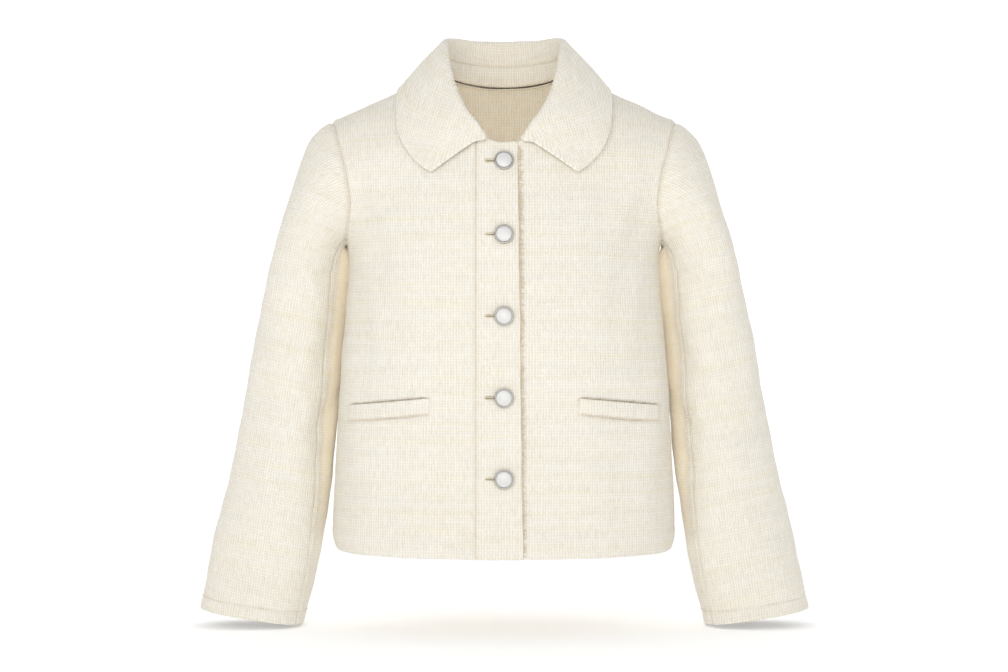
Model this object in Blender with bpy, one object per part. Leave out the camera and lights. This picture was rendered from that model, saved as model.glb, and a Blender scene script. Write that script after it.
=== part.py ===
"""A cropped tweed jacket, buttoned and filled out with no wearer, as the pieces its maker cuts and sews on.

Metres, +Z up. The front faces -Y and the wearer's left is +X. The origin is the middle of the neck, level
with the high points of the shoulders, where the wearer holds the jacket up.

The body's cloth is worked out in two coordinates. `across` is 0 on the centre line and 1 at the side. `down`
is the distance along the cloth from the shoulder line. A wall of cloth is a grid of points on its shown face
and the same grid moved back by the wall's thickness.
"""

import math
from collections import namedtuple

import bmesh
import bpy
import numpy as np
from mathutils import Matrix, Vector

# Cloth
WALL = 0.0022  # one layer of tweed, interlined
COLLAR_WALL = 0.0028  # two layers, pressed
SEAM_GAP = 0.0003
ARMHOLE_GAP = 0.0005
OVERLAP_LIFT = WALL + 0.0006  # how far the buttoned front stands out over the one beneath

# Body
HEM_DROP = 0.533
HEM_SIDE_RISE = 0.0045  # how much shorter the cloth is at the side seams
UNDERARM_DROP = 0.148
SQUARENESS = 2.4  # 2 makes elliptical sections, more makes squarer ones
SHOULDER_ROUND = 0.085  # height over which the front and back round over into the shoulder line
SHOULDER_SLOPE = 0.466
SHOULDER_EASE = 0.050
SHOULDER_POINT_X = 0.192
SLOPE_FADES = (0.11, 0.42)  # drops between which the shoulder's slope levels out towards the hem
FRONT, BACK = -1, 1

# drop: below the shoulder line. half_width, front and back: how far the section reaches
Level = namedtuple("Level", "drop half_width front back")
LEVELS = (
    Level(0.000, 0.2600, 0.072, 0.075),
    Level(0.035, 0.2376, 0.077, 0.084),
    Level(0.076, 0.2050, 0.086, 0.095),
    Level(0.110, 0.1847, 0.094, 0.102),
    Level(0.148, 0.1760, 0.104, 0.107),
    Level(0.210, 0.1755, 0.115, 0.109),
    Level(0.270, 0.1775, 0.120, 0.108),
    Level(0.355, 0.1830, 0.122, 0.108),
    Level(0.440, 0.1888, 0.123, 0.110),
    Level(0.500, 0.1907, 0.124, 0.113),
    Level(0.522, 0.1900, 0.1235, 0.113),
    Level(0.533, 0.1865, 0.1220, 0.111),
)

# Neckline
NECK_HALF = 0.063
NECK_FRONT_DROP = 0.0865
NECK_BACK_DROP = 0.0104
NECK_ROUNDNESS = 1.2  # 1 makes an ellipse, more brings it towards a V

# Armhole: how deep its lower curve is scooped, less is deeper
ARMHOLE_SCOOP = {FRONT: 0.85, BACK: 1.0}

# Rows and columns of the panels' grids
SLEEVE_STEPS = 24  # columns round a sleeve
FRONT_SEAM_STEP, BACK_SEAM_STEP = 10, 16  # the columns on which the sleeve's seams lie
CAP_ROWS, SLEEVE_ROWS = 6, 10
ARMHOLE_ROWS = SLEEVE_STEPS // 2  # so that sleeve and armhole share their points
BODY_ROWS = 11  # below the underarm
CHEST_ROWS = 3  # at the front edges, between the underarm's level and the neckline
FRONT_COLUMNS = 8
SHOULDER_COLUMNS = 5  # of the back's half, the rest lie along its neckline
COLLAR_HALF_COLUMNS = 14
BAND_COLUMNS = (0.0, 0.25, 0.5, 0.75, 0.9, 1.0)  # shares of the band's width, closer at its edge
BUTTON_SIDES = 20

# Front edges, as x on the body. The wearer's right front is on top
BAND_SEAM_X = -0.0305
BAND_EDGE_TOP_X = 0.0145
BAND_EDGE_HEM_X = 0.0192
BAND_CORNER = 0.006
LIFT_STARTS_X = -0.056
UNDERLAP_X = 0.026
FRINGE_REACH = 0.0050
FRINGE_WALL = 0.0014

# Sleeves. Each ring round a sleeve is given by its middle, its reach, its tilt outwards in degrees, and how
# far it is turned, in degrees, so that its inner side lies along the curve of the body's back
Ring = namedtuple("Ring", "along x y z half_width half_depth tilt turned")
SLEEVE_RINGS = (
    Ring(0.0, 0.2195, 0.017, -0.2250, 0.0400, 0.0640, 14.0, 12.0),
    Ring(0.2, 0.2300, 0.016, -0.3000, 0.0460, 0.0610, 13.0, 13.0),
    Ring(0.4, 0.2405, 0.016, -0.3800, 0.0510, 0.0570, 12.5, 14.0),
    Ring(0.6, 0.2530, 0.012, -0.4600, 0.0560, 0.0530, 12.0, 12.0),
    Ring(0.8, 0.2665, 0.007, -0.5300, 0.0595, 0.0490, 11.0, 8.0),
    Ring(1.0, 0.2825, 0.002, -0.6065, 0.0585, 0.0450, 8.5, 4.0),
)
CAP_SWELL, UNDERARM_TURN = 0.038, 0.008  # how far the cap's curve heads out of the armhole, top and bottom
CAP_FALL, UNDERARM_FALL = 0.114, 0.020  # and how far it comes straight into the top ring
CAP_SWELL_POWER, CAP_FALL_POWER = 1.3, 1.5  # more keeps both to the top of the sleeve
CAP_FORWARD, CAP_UPWARD = 0.25, 0.36  # the cap's lean as it leaves the armhole, for each metre outwards
INNER_SQUARENESS = 2.7  # the side pressed towards the body is flatter
OUTER_SQUARENESS = 2.15

# Collar. along: 0 at the centre back, 1 at the high point of the shoulder, 2 at the collar's front end
COLLAR_END_X = 0.0195
STAND_SHARE = 0.45  # how much of the rise the stand makes
STAND_SEAM_PULL = 0.0004
FALL_UPWARD = 0.5  # the fall swells out, and up by this much of that
RISE_SHARE, ROLL_SHARE = 0.20, 0.35  # of the leaf's rows, where its rise ends and where its roll ends
STAND_BASE_GAP = 0.0017
NECK_EDGE_PULL = 0.0008  # how far the panels' neck edges stay below the neckline, under the stand
LEAF_CLEARANCE = OVERLAP_LIFT + COLLAR_WALL / 2 + 0.0005  # between the body's form and the leaf's middle
# rise: neckline to the roll. roll: radius of the fold. edge_x, edge_down: where the leaf's outer edge lies
# on the body, edge_down being along the cloth from the shoulder line, less than 0 on the back. bulge: how
# far the fall swells out, as a share of its length
CollarStation = namedtuple("CollarStation", "along rise roll edge_x edge_down bulge")
COLLAR = (
    CollarStation(0.00, 0.0530, 0.0040, 0.0000, -0.0860, 0.09),
    CollarStation(0.45, 0.0510, 0.0040, 0.0550, -0.0770, 0.08),
    CollarStation(0.80, 0.0455, 0.0040, 0.0990, -0.0440, 0.06),
    CollarStation(1.05, 0.0375, 0.0040, 0.1140, 0.0000, 0.05),
    CollarStation(1.35, 0.0257, 0.0036, 0.1160, 0.0740, 0.05),
    CollarStation(1.70, 0.0155, 0.0032, 0.1050, 0.1230, 0.05),
    CollarStation(2.00, 0.0080, 0.0027, 0.0800, 0.1600, 0.03),
)

# Pocket welts: ends as x and z on the body, the outer end lower
WELT_INNER = (0.0815, -0.3625)
WELT_OUTER = (0.1685, -0.3710)
WELT_HEIGHT = 0.0165
WELT_GAP = 0.0005

# Buttons
BUTTON_X = 0.0
BUTTON_TOP_Z = -0.1060
BUTTON_GAPS = (0.0, 0.0798, 0.1674, 0.2550, 0.3418)  # each below the top button
BUTTON_RADIUS = 0.0105
SHANK_RADIUS = 0.0013
BUTTONHOLE_LENGTH = 0.0215
BUTTONHOLE_HEIGHT = 0.0036
RIM_WALL = 0.0014
RIM_BEVEL = 0.0012
RIM_TOP, RIM_INNER_TOP, RIM_FLOOR = 0.0033, 0.0030, 0.0018  # heights over the band
# share of the cap's radius, and height over the band
CAP_DOME = ((1.0, 0.0030), (0.85, 0.0038), (0.5, 0.0046), (0.0, 0.0049))

UP = np.array([0.0, 0.0, 1.0])

Finish = namedtuple("Finish", "colour roughness metallic")
TWEED = Finish((0.86, 0.80, 0.66, 1.0), 0.92, 0.0)
FRAY = Finish((0.78, 0.68, 0.48, 1.0), 0.95, 0.0)
SILVER = Finish((0.72, 0.71, 0.68, 1.0), 0.25, 1.0)
PEARL = Finish((0.90, 0.90, 0.88, 1.0), 0.22, 0.0)


# ---- Curves through tables ----


def smooth(table, column, at):
    """A column of a table, read anywhere along a smooth curve through its rows."""
    keys = np.array([row[0] for row in table])
    values = np.array([getattr(row, column) for row in table])
    slopes = np.gradient(values, keys)
    at = np.clip(at, keys[0], keys[-1])
    i = np.clip(np.searchsorted(keys, at, side="right") - 1, 0, len(keys) - 2)
    width = keys[i + 1] - keys[i]
    t = (at - keys[i]) / width
    rise = values[i] * (1 + 2 * t) * (1 - t) ** 2 + values[i + 1] * t * t * (3 - 2 * t)
    return rise + width * (slopes[i] * t * (1 - t) ** 2 - slopes[i + 1] * t * t * (1 - t))


def ease(t):
    """0 to 1, level at both ends."""
    t = np.clip(t, 0.0, 1.0)
    return t * t * (3 - 2 * t)


def evenly(points, count):
    """count + 1 points, evenly spaced along a line through the given points."""
    points = np.asarray(points)
    steps = np.linalg.norm(np.diff(points, axis=0), axis=1)
    length = np.concatenate([[0.0], np.cumsum(steps)])
    at = np.linspace(0, length[-1], count + 1)
    return np.stack([np.interp(at, length, points[:, k]) for k in range(points.shape[1])], axis=1)


def unit(vectors):
    return vectors / np.linalg.norm(vectors, axis=-1, keepdims=True)


# ---- The body's form ----


def shoulder_height(x):
    """The shoulder line over x, 0 at the high point of the shoulder."""
    return SHOULDER_SLOPE * (math.hypot(NECK_HALF, SHOULDER_EASE) - np.hypot(x, SHOULDER_EASE))


def slope_left(drop):
    return 1 - ease((drop - SLOPE_FADES[0]) / (SLOPE_FADES[1] - SLOPE_FADES[0]))


def drop_of(down):
    arc = SHOULDER_ROUND * np.minimum(down / SHOULDER_ROUND, math.pi / 2)
    return SHOULDER_ROUND * (1 - np.cos(arc / SHOULDER_ROUND)) + (down - arc)


def down_of(drop):
    round_part = np.clip(1 - drop / SHOULDER_ROUND, 0.0, 1.0)
    return SHOULDER_ROUND * np.arccos(round_part) + np.maximum(drop - SHOULDER_ROUND, 0.0)


def body_point(across, down, face):
    """A point of the body's outer face."""
    drop = drop_of(down)
    sine = np.sin(across * math.pi / 2)
    cosine = np.cos(across * math.pi / 2)
    reach = (np.abs(sine) ** SQUARENESS + np.abs(cosine) ** SQUARENESS) ** (-1 / SQUARENESS)
    depth = smooth(LEVELS, "front" if face == FRONT else "back", drop)
    rounding = np.sin(np.minimum(down / SHOULDER_ROUND, math.pi / 2))
    x = smooth(LEVELS, "half_width", drop) * reach * sine
    y = face * depth * rounding * reach * cosine
    z = shoulder_height(x) * slope_left(drop) - drop
    return np.stack(np.broadcast_arrays(x, y, z), axis=-1)


def body_normal(across, down, face):
    """The outward direction of the body's cloth."""
    step = 1e-4
    sideways = body_point(across + step, down, face) - body_point(across - step, down, face)
    low = np.maximum(down - step, 0.0)
    downwards = body_point(across, down + step, face) - body_point(across, low, face)
    return unit(face * np.cross(sideways, downwards))


def across_at(x, drop):
    share = np.asarray(x) / smooth(LEVELS, "half_width", drop)
    left = np.maximum(1 - np.abs(share) ** SQUARENESS, 0.0) ** (1 / SQUARENESS)
    return np.arctan2(share, left) / (math.pi / 2)


def on_body(x, z):
    """(across, down) of the cloth at a given x and z."""
    x, z = np.broadcast_arrays(np.asarray(x, float), np.asarray(z, float))
    drop = shoulder_height(x) - z
    for _ in range(8):
        drop = shoulder_height(x) * slope_left(drop) - z
    drop = np.maximum(drop, 0.0)
    return np.stack([across_at(x, drop), down_of(drop)], axis=-1)


def neckline(turn, face, pull=0.0):
    """(across, down) along the neckline, from turn 0 at the shoulder to 1 at the centre, and level
    beyond it. pull widens it."""
    angle = turn * math.pi / 2
    drop = NECK_FRONT_DROP if face == FRONT else NECK_BACK_DROP
    fall = np.sin(np.minimum(angle, math.pi / 2)) ** NECK_ROUNDNESS
    return on_body((NECK_HALF + pull) * np.cos(angle), -pull - drop * fall)


def armhole(turn, face):
    """(across, down) along the armhole, from the shoulder point at turn 0 to the underarm at turn 1."""
    angle = np.asarray(turn) * math.pi / 2
    start = across_at(SHOULDER_POINT_X, 0.0)
    across = start + (1 - start) * (1 - np.cos(angle)) ** ARMHOLE_SCOOP[face]
    return np.stack([across, down_of(UNDERARM_DROP * np.sin(angle))], axis=-1)


# ---- Walls ----


def patch(left, right, bottom, top):
    """A grid of points between four edges, rows from the bottom up and columns from left to right."""
    u = np.linspace(0, 1, len(bottom))[None, :, None]
    climb = left[:, 1] - left[0, 1] + right[:, 1] - right[0, 1]
    v = (climb / climb[-1])[:, None, None]
    sides = (1 - u) * left[:, None] + u * right[:, None]
    ends = (1 - v) * bottom[None] + v * top[None]
    lower = (1 - u) * bottom[0] + u * bottom[-1]
    upper = (1 - u) * top[0] + u * top[-1]
    return sides + ends - (1 - v) * lower - v * upper


def seamed(shown, hidden, edges, pull=SEAM_GAP / 2):
    """Both faces of a wall, pulled back by half the seam's gap along the named edges."""
    for grid in (shown, hidden):
        for edge in edges:
            rows = grid if edge in ("first_row", "last_row") else grid.transpose(1, 0, 2)
            end, beside = (0, 1) if edge.startswith("first") else (-1, -2)
            rows[end] += unit(rows[beside] - rows[end]) * pull
    return shown, hidden


def finish_material(name, finish):
    material = bpy.data.materials.new(name)
    material.use_nodes = True
    shader = material.node_tree.nodes["Principled BSDF"]
    shader.inputs["Base Color"].default_value = finish.colour
    shader.inputs["Roughness"].default_value = finish.roughness
    shader.inputs["Metallic"].default_value = finish.metallic
    return material


def add_object(name, shape, finish, place=None):
    """A closed shape as an object with its own material, its faces pointing out."""
    bmesh.ops.recalc_face_normals(shape, faces=shape.faces)
    mesh = bpy.data.meshes.new(name)
    shape.to_mesh(mesh)
    shape.free()
    mesh.shade_smooth()
    mesh.set_sharp_from_angle(angle=math.radians(40))
    mesh.materials.append(finish_material(name + "_finish", finish))
    made = bpy.data.objects.new(name, mesh)
    made.matrix_world = place or Matrix.Identity(4)
    bpy.context.scene.collection.objects.link(made)
    return made


def add_wall(name, shown, hidden, finish=TWEED):
    """A sheet with thickness: two grids of points, joined round their borders."""
    rows, columns = shown.shape[:2]
    shape = bmesh.new()
    front, back = (
        [[shape.verts.new(point) for point in row] for row in grid.tolist()] for grid in (shown, hidden))
    for r in range(rows - 1):
        for c in range(columns - 1):
            for side in (front, back):
                shape.faces.new((side[r][c], side[r][c + 1], side[r + 1][c + 1], side[r + 1][c]))
    border = [(0, c) for c in range(columns)]
    border += [(r, columns - 1) for r in range(1, rows)]
    border += [(rows - 1, c) for c in range(columns - 2, -1, -1)]
    border += [(r, 0) for r in range(rows - 2, 0, -1)]
    for (r, c), (next_r, next_c) in zip(border, border[1:] + border[:1]):
        shape.faces.new((front[r][c], front[next_r][next_c], back[next_r][next_c], back[r][c]))
    return add_object(name, shape, finish)


# ---- Body panels ----


def overlap_lift(x):
    """How far the buttonhole side stands out over the form."""
    return OVERLAP_LIFT * ease((x - LIFT_STARTS_X) / (BAND_SEAM_X - LIFT_STARTS_X))


def hem_down(across):
    """The hem, as its distance along the cloth from the shoulder line."""
    return down_of(HEM_DROP) - HEM_SIDE_RISE * np.abs(across) ** 3


def side_seam():
    """(across, down) up the side seam, from the hem to the underarm."""
    down = np.linspace(hem_down(1.0), down_of(UNDERARM_DROP), BODY_ROWS + 1)
    return np.stack([np.ones_like(down), down], axis=-1)


def front_panel(name, side, inner_x, lifted):
    """A front: its inner edge runs up at inner_x and round the neckline, its outer edge up the side seam
    and round the armhole. side is 1 for the wearer's left and -1 for the right."""
    underarm_z = float(body_point(1.0, down_of(UNDERARM_DROP), FRONT)[2])
    neck_z = float(neck_z_at(max(inner_x, 0.0))) - NECK_EDGE_PULL
    heights = np.concatenate([np.linspace(-HEM_DROP, underarm_z, BODY_ROWS + 1)[:-1],
                              np.linspace(underarm_z, neck_z, CHEST_ROWS + 1)[:-1]])
    neck_turn = math.acos(inner_x / (NECK_HALF + NECK_EDGE_PULL)) / (math.pi / 2)
    neck = neckline(np.linspace(neck_turn, 0.0, 40), FRONT, NECK_EDGE_PULL)
    left = np.concatenate([on_body(inner_x, heights), evenly(neck, ARMHOLE_ROWS - CHEST_ROWS)])
    right = np.concatenate([side_seam()[:-1], armhole(np.linspace(1, 0, ARMHOLE_ROWS + 1), FRONT)])
    hem_across = np.linspace(left[0, 0], 1, FRONT_COLUMNS + 1)
    hem = np.stack([hem_across, hem_down(hem_across)], axis=-1)
    seam_x = np.linspace(NECK_HALF + NECK_EDGE_PULL, SHOULDER_POINT_X, FRONT_COLUMNS + 1)
    shoulder = np.stack([across_at(seam_x, 0.0), np.zeros(FRONT_COLUMNS + 1)], axis=-1)
    grid = patch(left, right, hem, shoulder)
    across, down = grid[..., 0], grid[..., 1]
    normal = body_normal(across, down, FRONT)
    shown = body_point(across, down, FRONT)
    if lifted:
        shown = shown + normal * overlap_lift(-shown[..., :1])
    hidden = shown - normal * WALL
    shown, hidden = seamed(shown, hidden, ("first_column", "last_column", "last_row"))
    mirror = np.array([side, 1, 1])
    return add_wall(name, shown * mirror, hidden * mirror)


def back_panel():
    """The back in one piece, from side to side."""
    left_side = np.concatenate([side_seam()[:-1], armhole(np.linspace(1, 0, ARMHOLE_ROWS + 1), BACK)])
    right_side = left_side * np.array([-1, 1])
    hem_across = np.linspace(-1, 1, 2 * FRONT_COLUMNS + 1)
    hem = np.stack([hem_across, hem_down(hem_across)], axis=-1)
    seam_x = np.linspace(SHOULDER_POINT_X, NECK_HALF + NECK_EDGE_PULL, SHOULDER_COLUMNS + 1)
    shoulder = np.stack([across_at(seam_x, 0.0), np.zeros(SHOULDER_COLUMNS + 1)], axis=-1)
    neck = neckline(np.linspace(0, 1, FRONT_COLUMNS - SHOULDER_COLUMNS + 1), BACK, NECK_EDGE_PULL)
    half = np.concatenate([shoulder, neck[1:]])
    top = np.concatenate([half * np.array([-1, 1]), half[-2::-1]])
    grid = patch(right_side, left_side, hem, top)
    across, down = grid[..., 0], grid[..., 1]
    shown = body_point(across, down, BACK)
    hidden = shown - body_normal(across, down, BACK) * WALL
    shown, hidden = seamed(shown, hidden, ("first_column", "last_column", "last_row"))
    return add_wall("back", shown, hidden)


# ---- Front band, fringe and pocket welts ----


def band_edge_x(z):
    return BAND_EDGE_TOP_X + (BAND_EDGE_HEM_X - BAND_EDGE_TOP_X) * (-z / HEM_DROP)


def neck_z_at(x):
    """Height of the front neckline over x."""
    return -NECK_FRONT_DROP * np.sin(np.arccos(np.clip(np.abs(x) / NECK_HALF, 0, 1))) ** NECK_ROUNDNESS


def lifted_front(x, z, lift):
    """Points over the front at x and z, that far out of the form."""
    spot = on_body(x, z)
    across, down = spot[..., 0], spot[..., 1]
    lift = np.broadcast_to(lift, across.shape)[..., None]
    return body_point(across, down, FRONT) + body_normal(across, down, FRONT) * lift


def front_band():
    """The buttonhole band, rounded at its top corner, with a slot for each button's shank."""
    rows = np.linspace(0, 1, 25)[:, None]
    columns = np.array(BAND_COLUMNS)[None]
    edge = band_edge_x(-HEM_DROP * (1 - rows))
    x = BAND_SEAM_X + (edge - BAND_SEAM_X) * columns
    past = np.maximum(x - (edge - BAND_CORNER), 0.0)
    top = neck_z_at(x) - (BAND_CORNER - np.sqrt(BAND_CORNER**2 - np.minimum(past, BAND_CORNER) ** 2))
    z = -HEM_DROP + (top + HEM_DROP) * rows
    shown, hidden = seamed(lifted_front(x, z, OVERLAP_LIFT), lifted_front(x, z, OVERLAP_LIFT - WALL),
                           ("first_column",))
    band = add_wall("front_band", shown, hidden)
    for number, gap in enumerate(BUTTON_GAPS, 1):
        cutter = buttonhole_cutter(number, BUTTON_TOP_Z - gap)
        cut = band.modifiers.new(f"buttonhole_{number}", "BOOLEAN")
        cut.operation = "DIFFERENCE"
        cut.object = cutter
        cut.solver = "EXACT"


def front_fringe():
    """The reach of the frayed edge that stands out beside the band."""
    z = np.linspace(-HEM_DROP + 0.001, float(neck_z_at(BAND_EDGE_TOP_X)) - BAND_CORNER, 20)[:, None]
    x = band_edge_x(z) + SEAM_GAP + FRINGE_REACH * np.array([0.0, 1.0])[None]
    low = OVERLAP_LIFT - WALL
    add_wall("front_fringe", lifted_front(x, z, low + FRINGE_WALL), lifted_front(x, z, low), FRAY)


def pocket_welt(name, side):
    """A single welt, standing on the front beneath its pocket's slit."""
    u = np.linspace(0, 1, 9)[None]
    v = np.linspace(0, 1, 3)[:, None]
    x = WELT_INNER[0] + (WELT_OUTER[0] - WELT_INNER[0]) * u + 0 * v
    z = WELT_INNER[1] + (WELT_OUTER[1] - WELT_INNER[1]) * u - WELT_HEIGHT * v
    mirror = np.array([side, 1, 1])
    add_wall(name, lifted_front(x, z, WELT_GAP + WALL) * mirror, lifted_front(x, z, WELT_GAP) * mirror)


# ---- Sleeves ----


def ring_point(angle, along):
    """A point of the sleeve below its cap. angle: 0 outside, 90 front, 180 beside the body, 270 back.
    along: 0 at the top ring and 1 at the cuff."""
    x, y, z, half_width, half_depth, tilt, turned = (
        smooth(SLEEVE_RINGS, column, along) for column in Ring._fields[1:])
    sine, cosine = np.sin(np.radians(angle)), np.cos(np.radians(angle))
    power = np.where(cosine < 0, INNER_SQUARENESS, OUTER_SQUARENESS)
    reach = (np.abs(sine) ** power + np.abs(cosine) ** power) ** (-1 / power)
    flat_out = half_width * reach * cosine
    flat_forward = half_depth * reach * sine
    tilt, turned = np.radians(tilt), np.radians(turned)
    out = flat_out * np.cos(turned) + flat_forward * np.sin(turned)
    forward = flat_forward * np.cos(turned) - flat_out * np.sin(turned)
    point = (x + out * np.cos(tilt), y - forward, z + out * np.sin(tilt))
    return np.stack(np.broadcast_arrays(*point), axis=-1)


def armhole_ring(angle):
    """(point, normal) of the body's armhole edge for an angle round the sleeve."""
    turn = np.minimum(angle, 360 - angle) / 180
    points, normals = [], []
    for face in (FRONT, BACK):
        spot = armhole(turn, face)
        points.append(body_point(spot[..., 0], spot[..., 1], face))
        normals.append(body_normal(spot[..., 0], spot[..., 1], face))
    in_front = (angle <= 180)[..., None]
    return np.where(in_front, points[0], points[1]), np.where(in_front, normals[0], normals[1])


def cap_point(angle, along):
    """A point of the sleeve's cap, from the armhole at 0 to the top ring at 1, along a Bezier curve."""
    start, _ = armhole_ring(angle)
    end = ring_point(angle, 0.0)
    below = ring_point(angle, 0.02)
    topness = (1 + np.cos(np.radians(angle))) / 2
    sine, cosine = np.sin(np.radians(angle)), np.cos(np.radians(angle))
    leave = np.stack([np.ones_like(angle), -CAP_FORWARD * sine, CAP_UPWARD * -cosine], axis=-1)
    leave_by = UNDERARM_TURN + (CAP_SWELL - UNDERARM_TURN) * topness**CAP_SWELL_POWER
    arrive_by = UNDERARM_FALL + (CAP_FALL - UNDERARM_FALL) * topness**CAP_FALL_POWER
    first = start + unit(leave) * leave_by[..., None]
    second = end + unit(end - below) * arrive_by[..., None]
    t = along[..., None]
    return (start * (1 - t) ** 3 + 3 * first * t * (1 - t) ** 2
            + 3 * second * t * t * (1 - t) + end * t**3)


def sleeve_point(angle, along):
    """A point of the whole sleeve. along: 0 at the armhole, 1 at the top ring and 2 at the cuff."""
    angle, along = np.broadcast_arrays(np.asarray(angle, float), np.asarray(along, float))
    cap = cap_point(angle, np.clip(along, 0, 1))
    tube = ring_point(angle, np.clip(along - 1, 0, 1))
    return np.where((along < 1)[..., None], cap, tube)


def sleeve_normal(angle, along):
    turn, step = 0.2, 2e-3
    around = sleeve_point((angle + turn) % 360, along) - sleeve_point((angle - turn) % 360, along)
    low = np.clip(along - step, 0, 2)
    high = np.clip(along + step, 0, 2)
    lengthways = sleeve_point(angle, high) - sleeve_point(angle, low)
    return unit(np.cross(around, lengthways))


def sleeve_panel(name, side, first_step, last_step):
    """A panel of a sleeve between two of the columns round it."""
    angles = (np.arange(first_step, last_step + 1) * 360 / SLEEVE_STEPS) % 360
    rows = np.concatenate([np.linspace(0, 1, CAP_ROWS + 1) ** 1.25,
                           np.linspace(1, 2, SLEEVE_ROWS + 1)[1:]])
    angle, along = np.meshgrid(angles, rows)
    shown = sleeve_point(angle, along)
    normal = sleeve_normal(angle, along)
    normal[0] = armhole_ring(angles)[1]
    hidden = shown - normal * WALL
    shown, hidden = seamed(shown, hidden, ("first_column", "last_column"))
    shown, hidden = seamed(shown, hidden, ("first_row",), pull=ARMHOLE_GAP)
    mirror = np.array([side, 1, 1])
    return add_wall(name, shown * mirror, hidden * mirror)


# ---- Collar ----


def neck_point(along):
    """The neckline at a place round the collar: 0 centre back, 2 the collar's left end, -2 its right end."""
    end_turn = math.acos(COLLAR_END_X / NECK_HALF) / (math.pi / 2)
    place = np.abs(along)
    back = neckline(1 - np.clip(place, 0, 1), BACK)
    front = neckline(np.clip(place - 1, 0, 1) * end_turn, FRONT)
    spot = np.where((place <= 1)[..., None], back, front)
    point = two_faced(body_point, spot, place > 1)
    normal = two_faced(body_normal, spot, place > 1)
    sided = np.where(along < 0, -1.0, 1.0)[..., None] * np.array([1, 0, 0]) + np.array([0, 1, 1])
    lift = np.where((along < -1), overlap_lift(-point[..., 0]), 0.0)
    return (point + normal * (lift[..., None] - WALL / 2)) * sided


def two_faced(function, spot, in_front):
    """A function of the body's cloth, taken on the front or on the back for each place."""
    across, down = spot[..., 0], spot[..., 1]
    return np.where(in_front[..., None], function(across, down, FRONT), function(across, down, BACK))


def nearest_cloth(points):
    """(across, down) of the body's cloth nearest to each point."""
    x, y, z = points[..., 0], points[..., 1], points[..., 2]
    level = on_body(x, np.minimum(z, shoulder_height(x)))
    across, down = level[..., 0], level[..., 1]
    below = np.stack([across, np.full_like(down, SHOULDER_ROUND * math.pi / 2)], axis=-1)
    half = np.abs(two_faced(body_point, below, y < 0)[..., 1])
    lean = np.arctan2(np.abs(y) / half, (z - shoulder_height(x)) / SHOULDER_ROUND + 1)
    return np.stack([across, np.where(lean < math.pi / 2, SHOULDER_ROUND * lean, down)], axis=-1)


def clear_of_body(points, clearance):
    """Points moved out of the body's form until they are at least that far from it."""
    for _ in range(6):
        spot, in_front = nearest_cloth(points), points[..., 1] < 0
        form = two_faced(body_point, spot, in_front)
        normal = two_faced(body_normal, spot, in_front)
        height = np.sum((points - form) * normal, axis=-1)
        points = points + normal * np.maximum(clearance - height, 0.0)[..., None]
    return points


def collar_frame(along):
    """(base, outward, rise, roll, edge, bulge) at each place round the collar."""
    base = neck_point(along)
    step = 0.02
    tangent = neck_point(np.minimum(along + step, 2.0)) - neck_point(np.maximum(along - step, -2.0))
    outward = unit(np.cross(tangent, UP))
    place = np.abs(along)
    rise, roll, edge_x, edge_down, bulge = (
        smooth(COLLAR, column, place) for column in CollarStation._fields[1:])
    down = np.abs(edge_down)
    edge_x = np.where(along < 0, -edge_x, edge_x)
    spot = np.stack([across_at(edge_x, drop_of(down)), down], axis=-1)
    edge = two_faced(body_point, spot, edge_down > 0)
    edge = edge + two_faced(body_normal, spot, edge_down > 0) * LEAF_CLEARANCE
    return base, -outward, rise[..., None], roll[..., None], edge, bulge[..., None]


def leaf_middle(along, share):
    """The middle of the leaf's cloth: share runs from the stand over the roll to the outer edge."""
    base, outward, rise, roll, edge, bulge = collar_frame(along)
    share = share[..., None]
    seam = base + UP * rise * STAND_SHARE
    turn_starts = base + UP * (rise - roll)
    centre = turn_starts + outward * roll
    turn = np.clip((share - RISE_SHARE) / (ROLL_SHARE - RISE_SHARE), 0, 1) * math.pi
    rising = seam + (turn_starts - seam) * np.clip(share / RISE_SHARE, 0, 1)
    rolling = centre - outward * roll * np.cos(turn) + UP * roll * np.sin(turn)
    falls_from = centre + outward * roll
    t = np.clip((share - ROLL_SHARE) / (1 - ROLL_SHARE), 0, 1)
    fall = edge - falls_from
    swell = (outward + UP * FALL_UPWARD) * np.linalg.norm(fall, axis=-1, keepdims=True) * bulge
    falling = falls_from + fall * t + swell * 3 * t * (1 - t)
    falling = clear_of_body(falling, LEAF_CLEARANCE)
    return np.where(share <= RISE_SHARE, rising, np.where(share < ROLL_SHARE, rolling, falling))


def add_middle_wall(name, middle, thickness, edges):
    """A sheet of cloth given by the grid of its middle."""
    normal = unit(np.cross(np.gradient(middle, axis=0), np.gradient(middle, axis=1)))
    faces = middle + normal * thickness / 2, middle - normal * thickness / 2
    return add_wall(name, *seamed(*faces, edges, pull=STAND_SEAM_PULL))


def collar():
    along = np.linspace(-2, 2, 2 * COLLAR_HALF_COLUMNS + 1)
    base, _, rise, *_ = collar_frame(along)
    heights = np.linspace(0, 1, 4)[:, None, None]
    stand = base + UP * (STAND_BASE_GAP + (rise * STAND_SHARE - STAND_BASE_GAP) * heights)
    add_middle_wall("collar_stand", stand, WALL, ("last_row",))
    shares = np.concatenate([np.linspace(0, RISE_SHARE, 3)[:-1],
                             np.linspace(RISE_SHARE, ROLL_SHARE, 5)[:-1],
                             np.linspace(ROLL_SHARE, 1, 8)])
    leaf = leaf_middle(*np.meshgrid(along, shares))
    add_middle_wall("collar_leaf", leaf, COLLAR_WALL, ("first_row",))


# ---- Buttons ----


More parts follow.
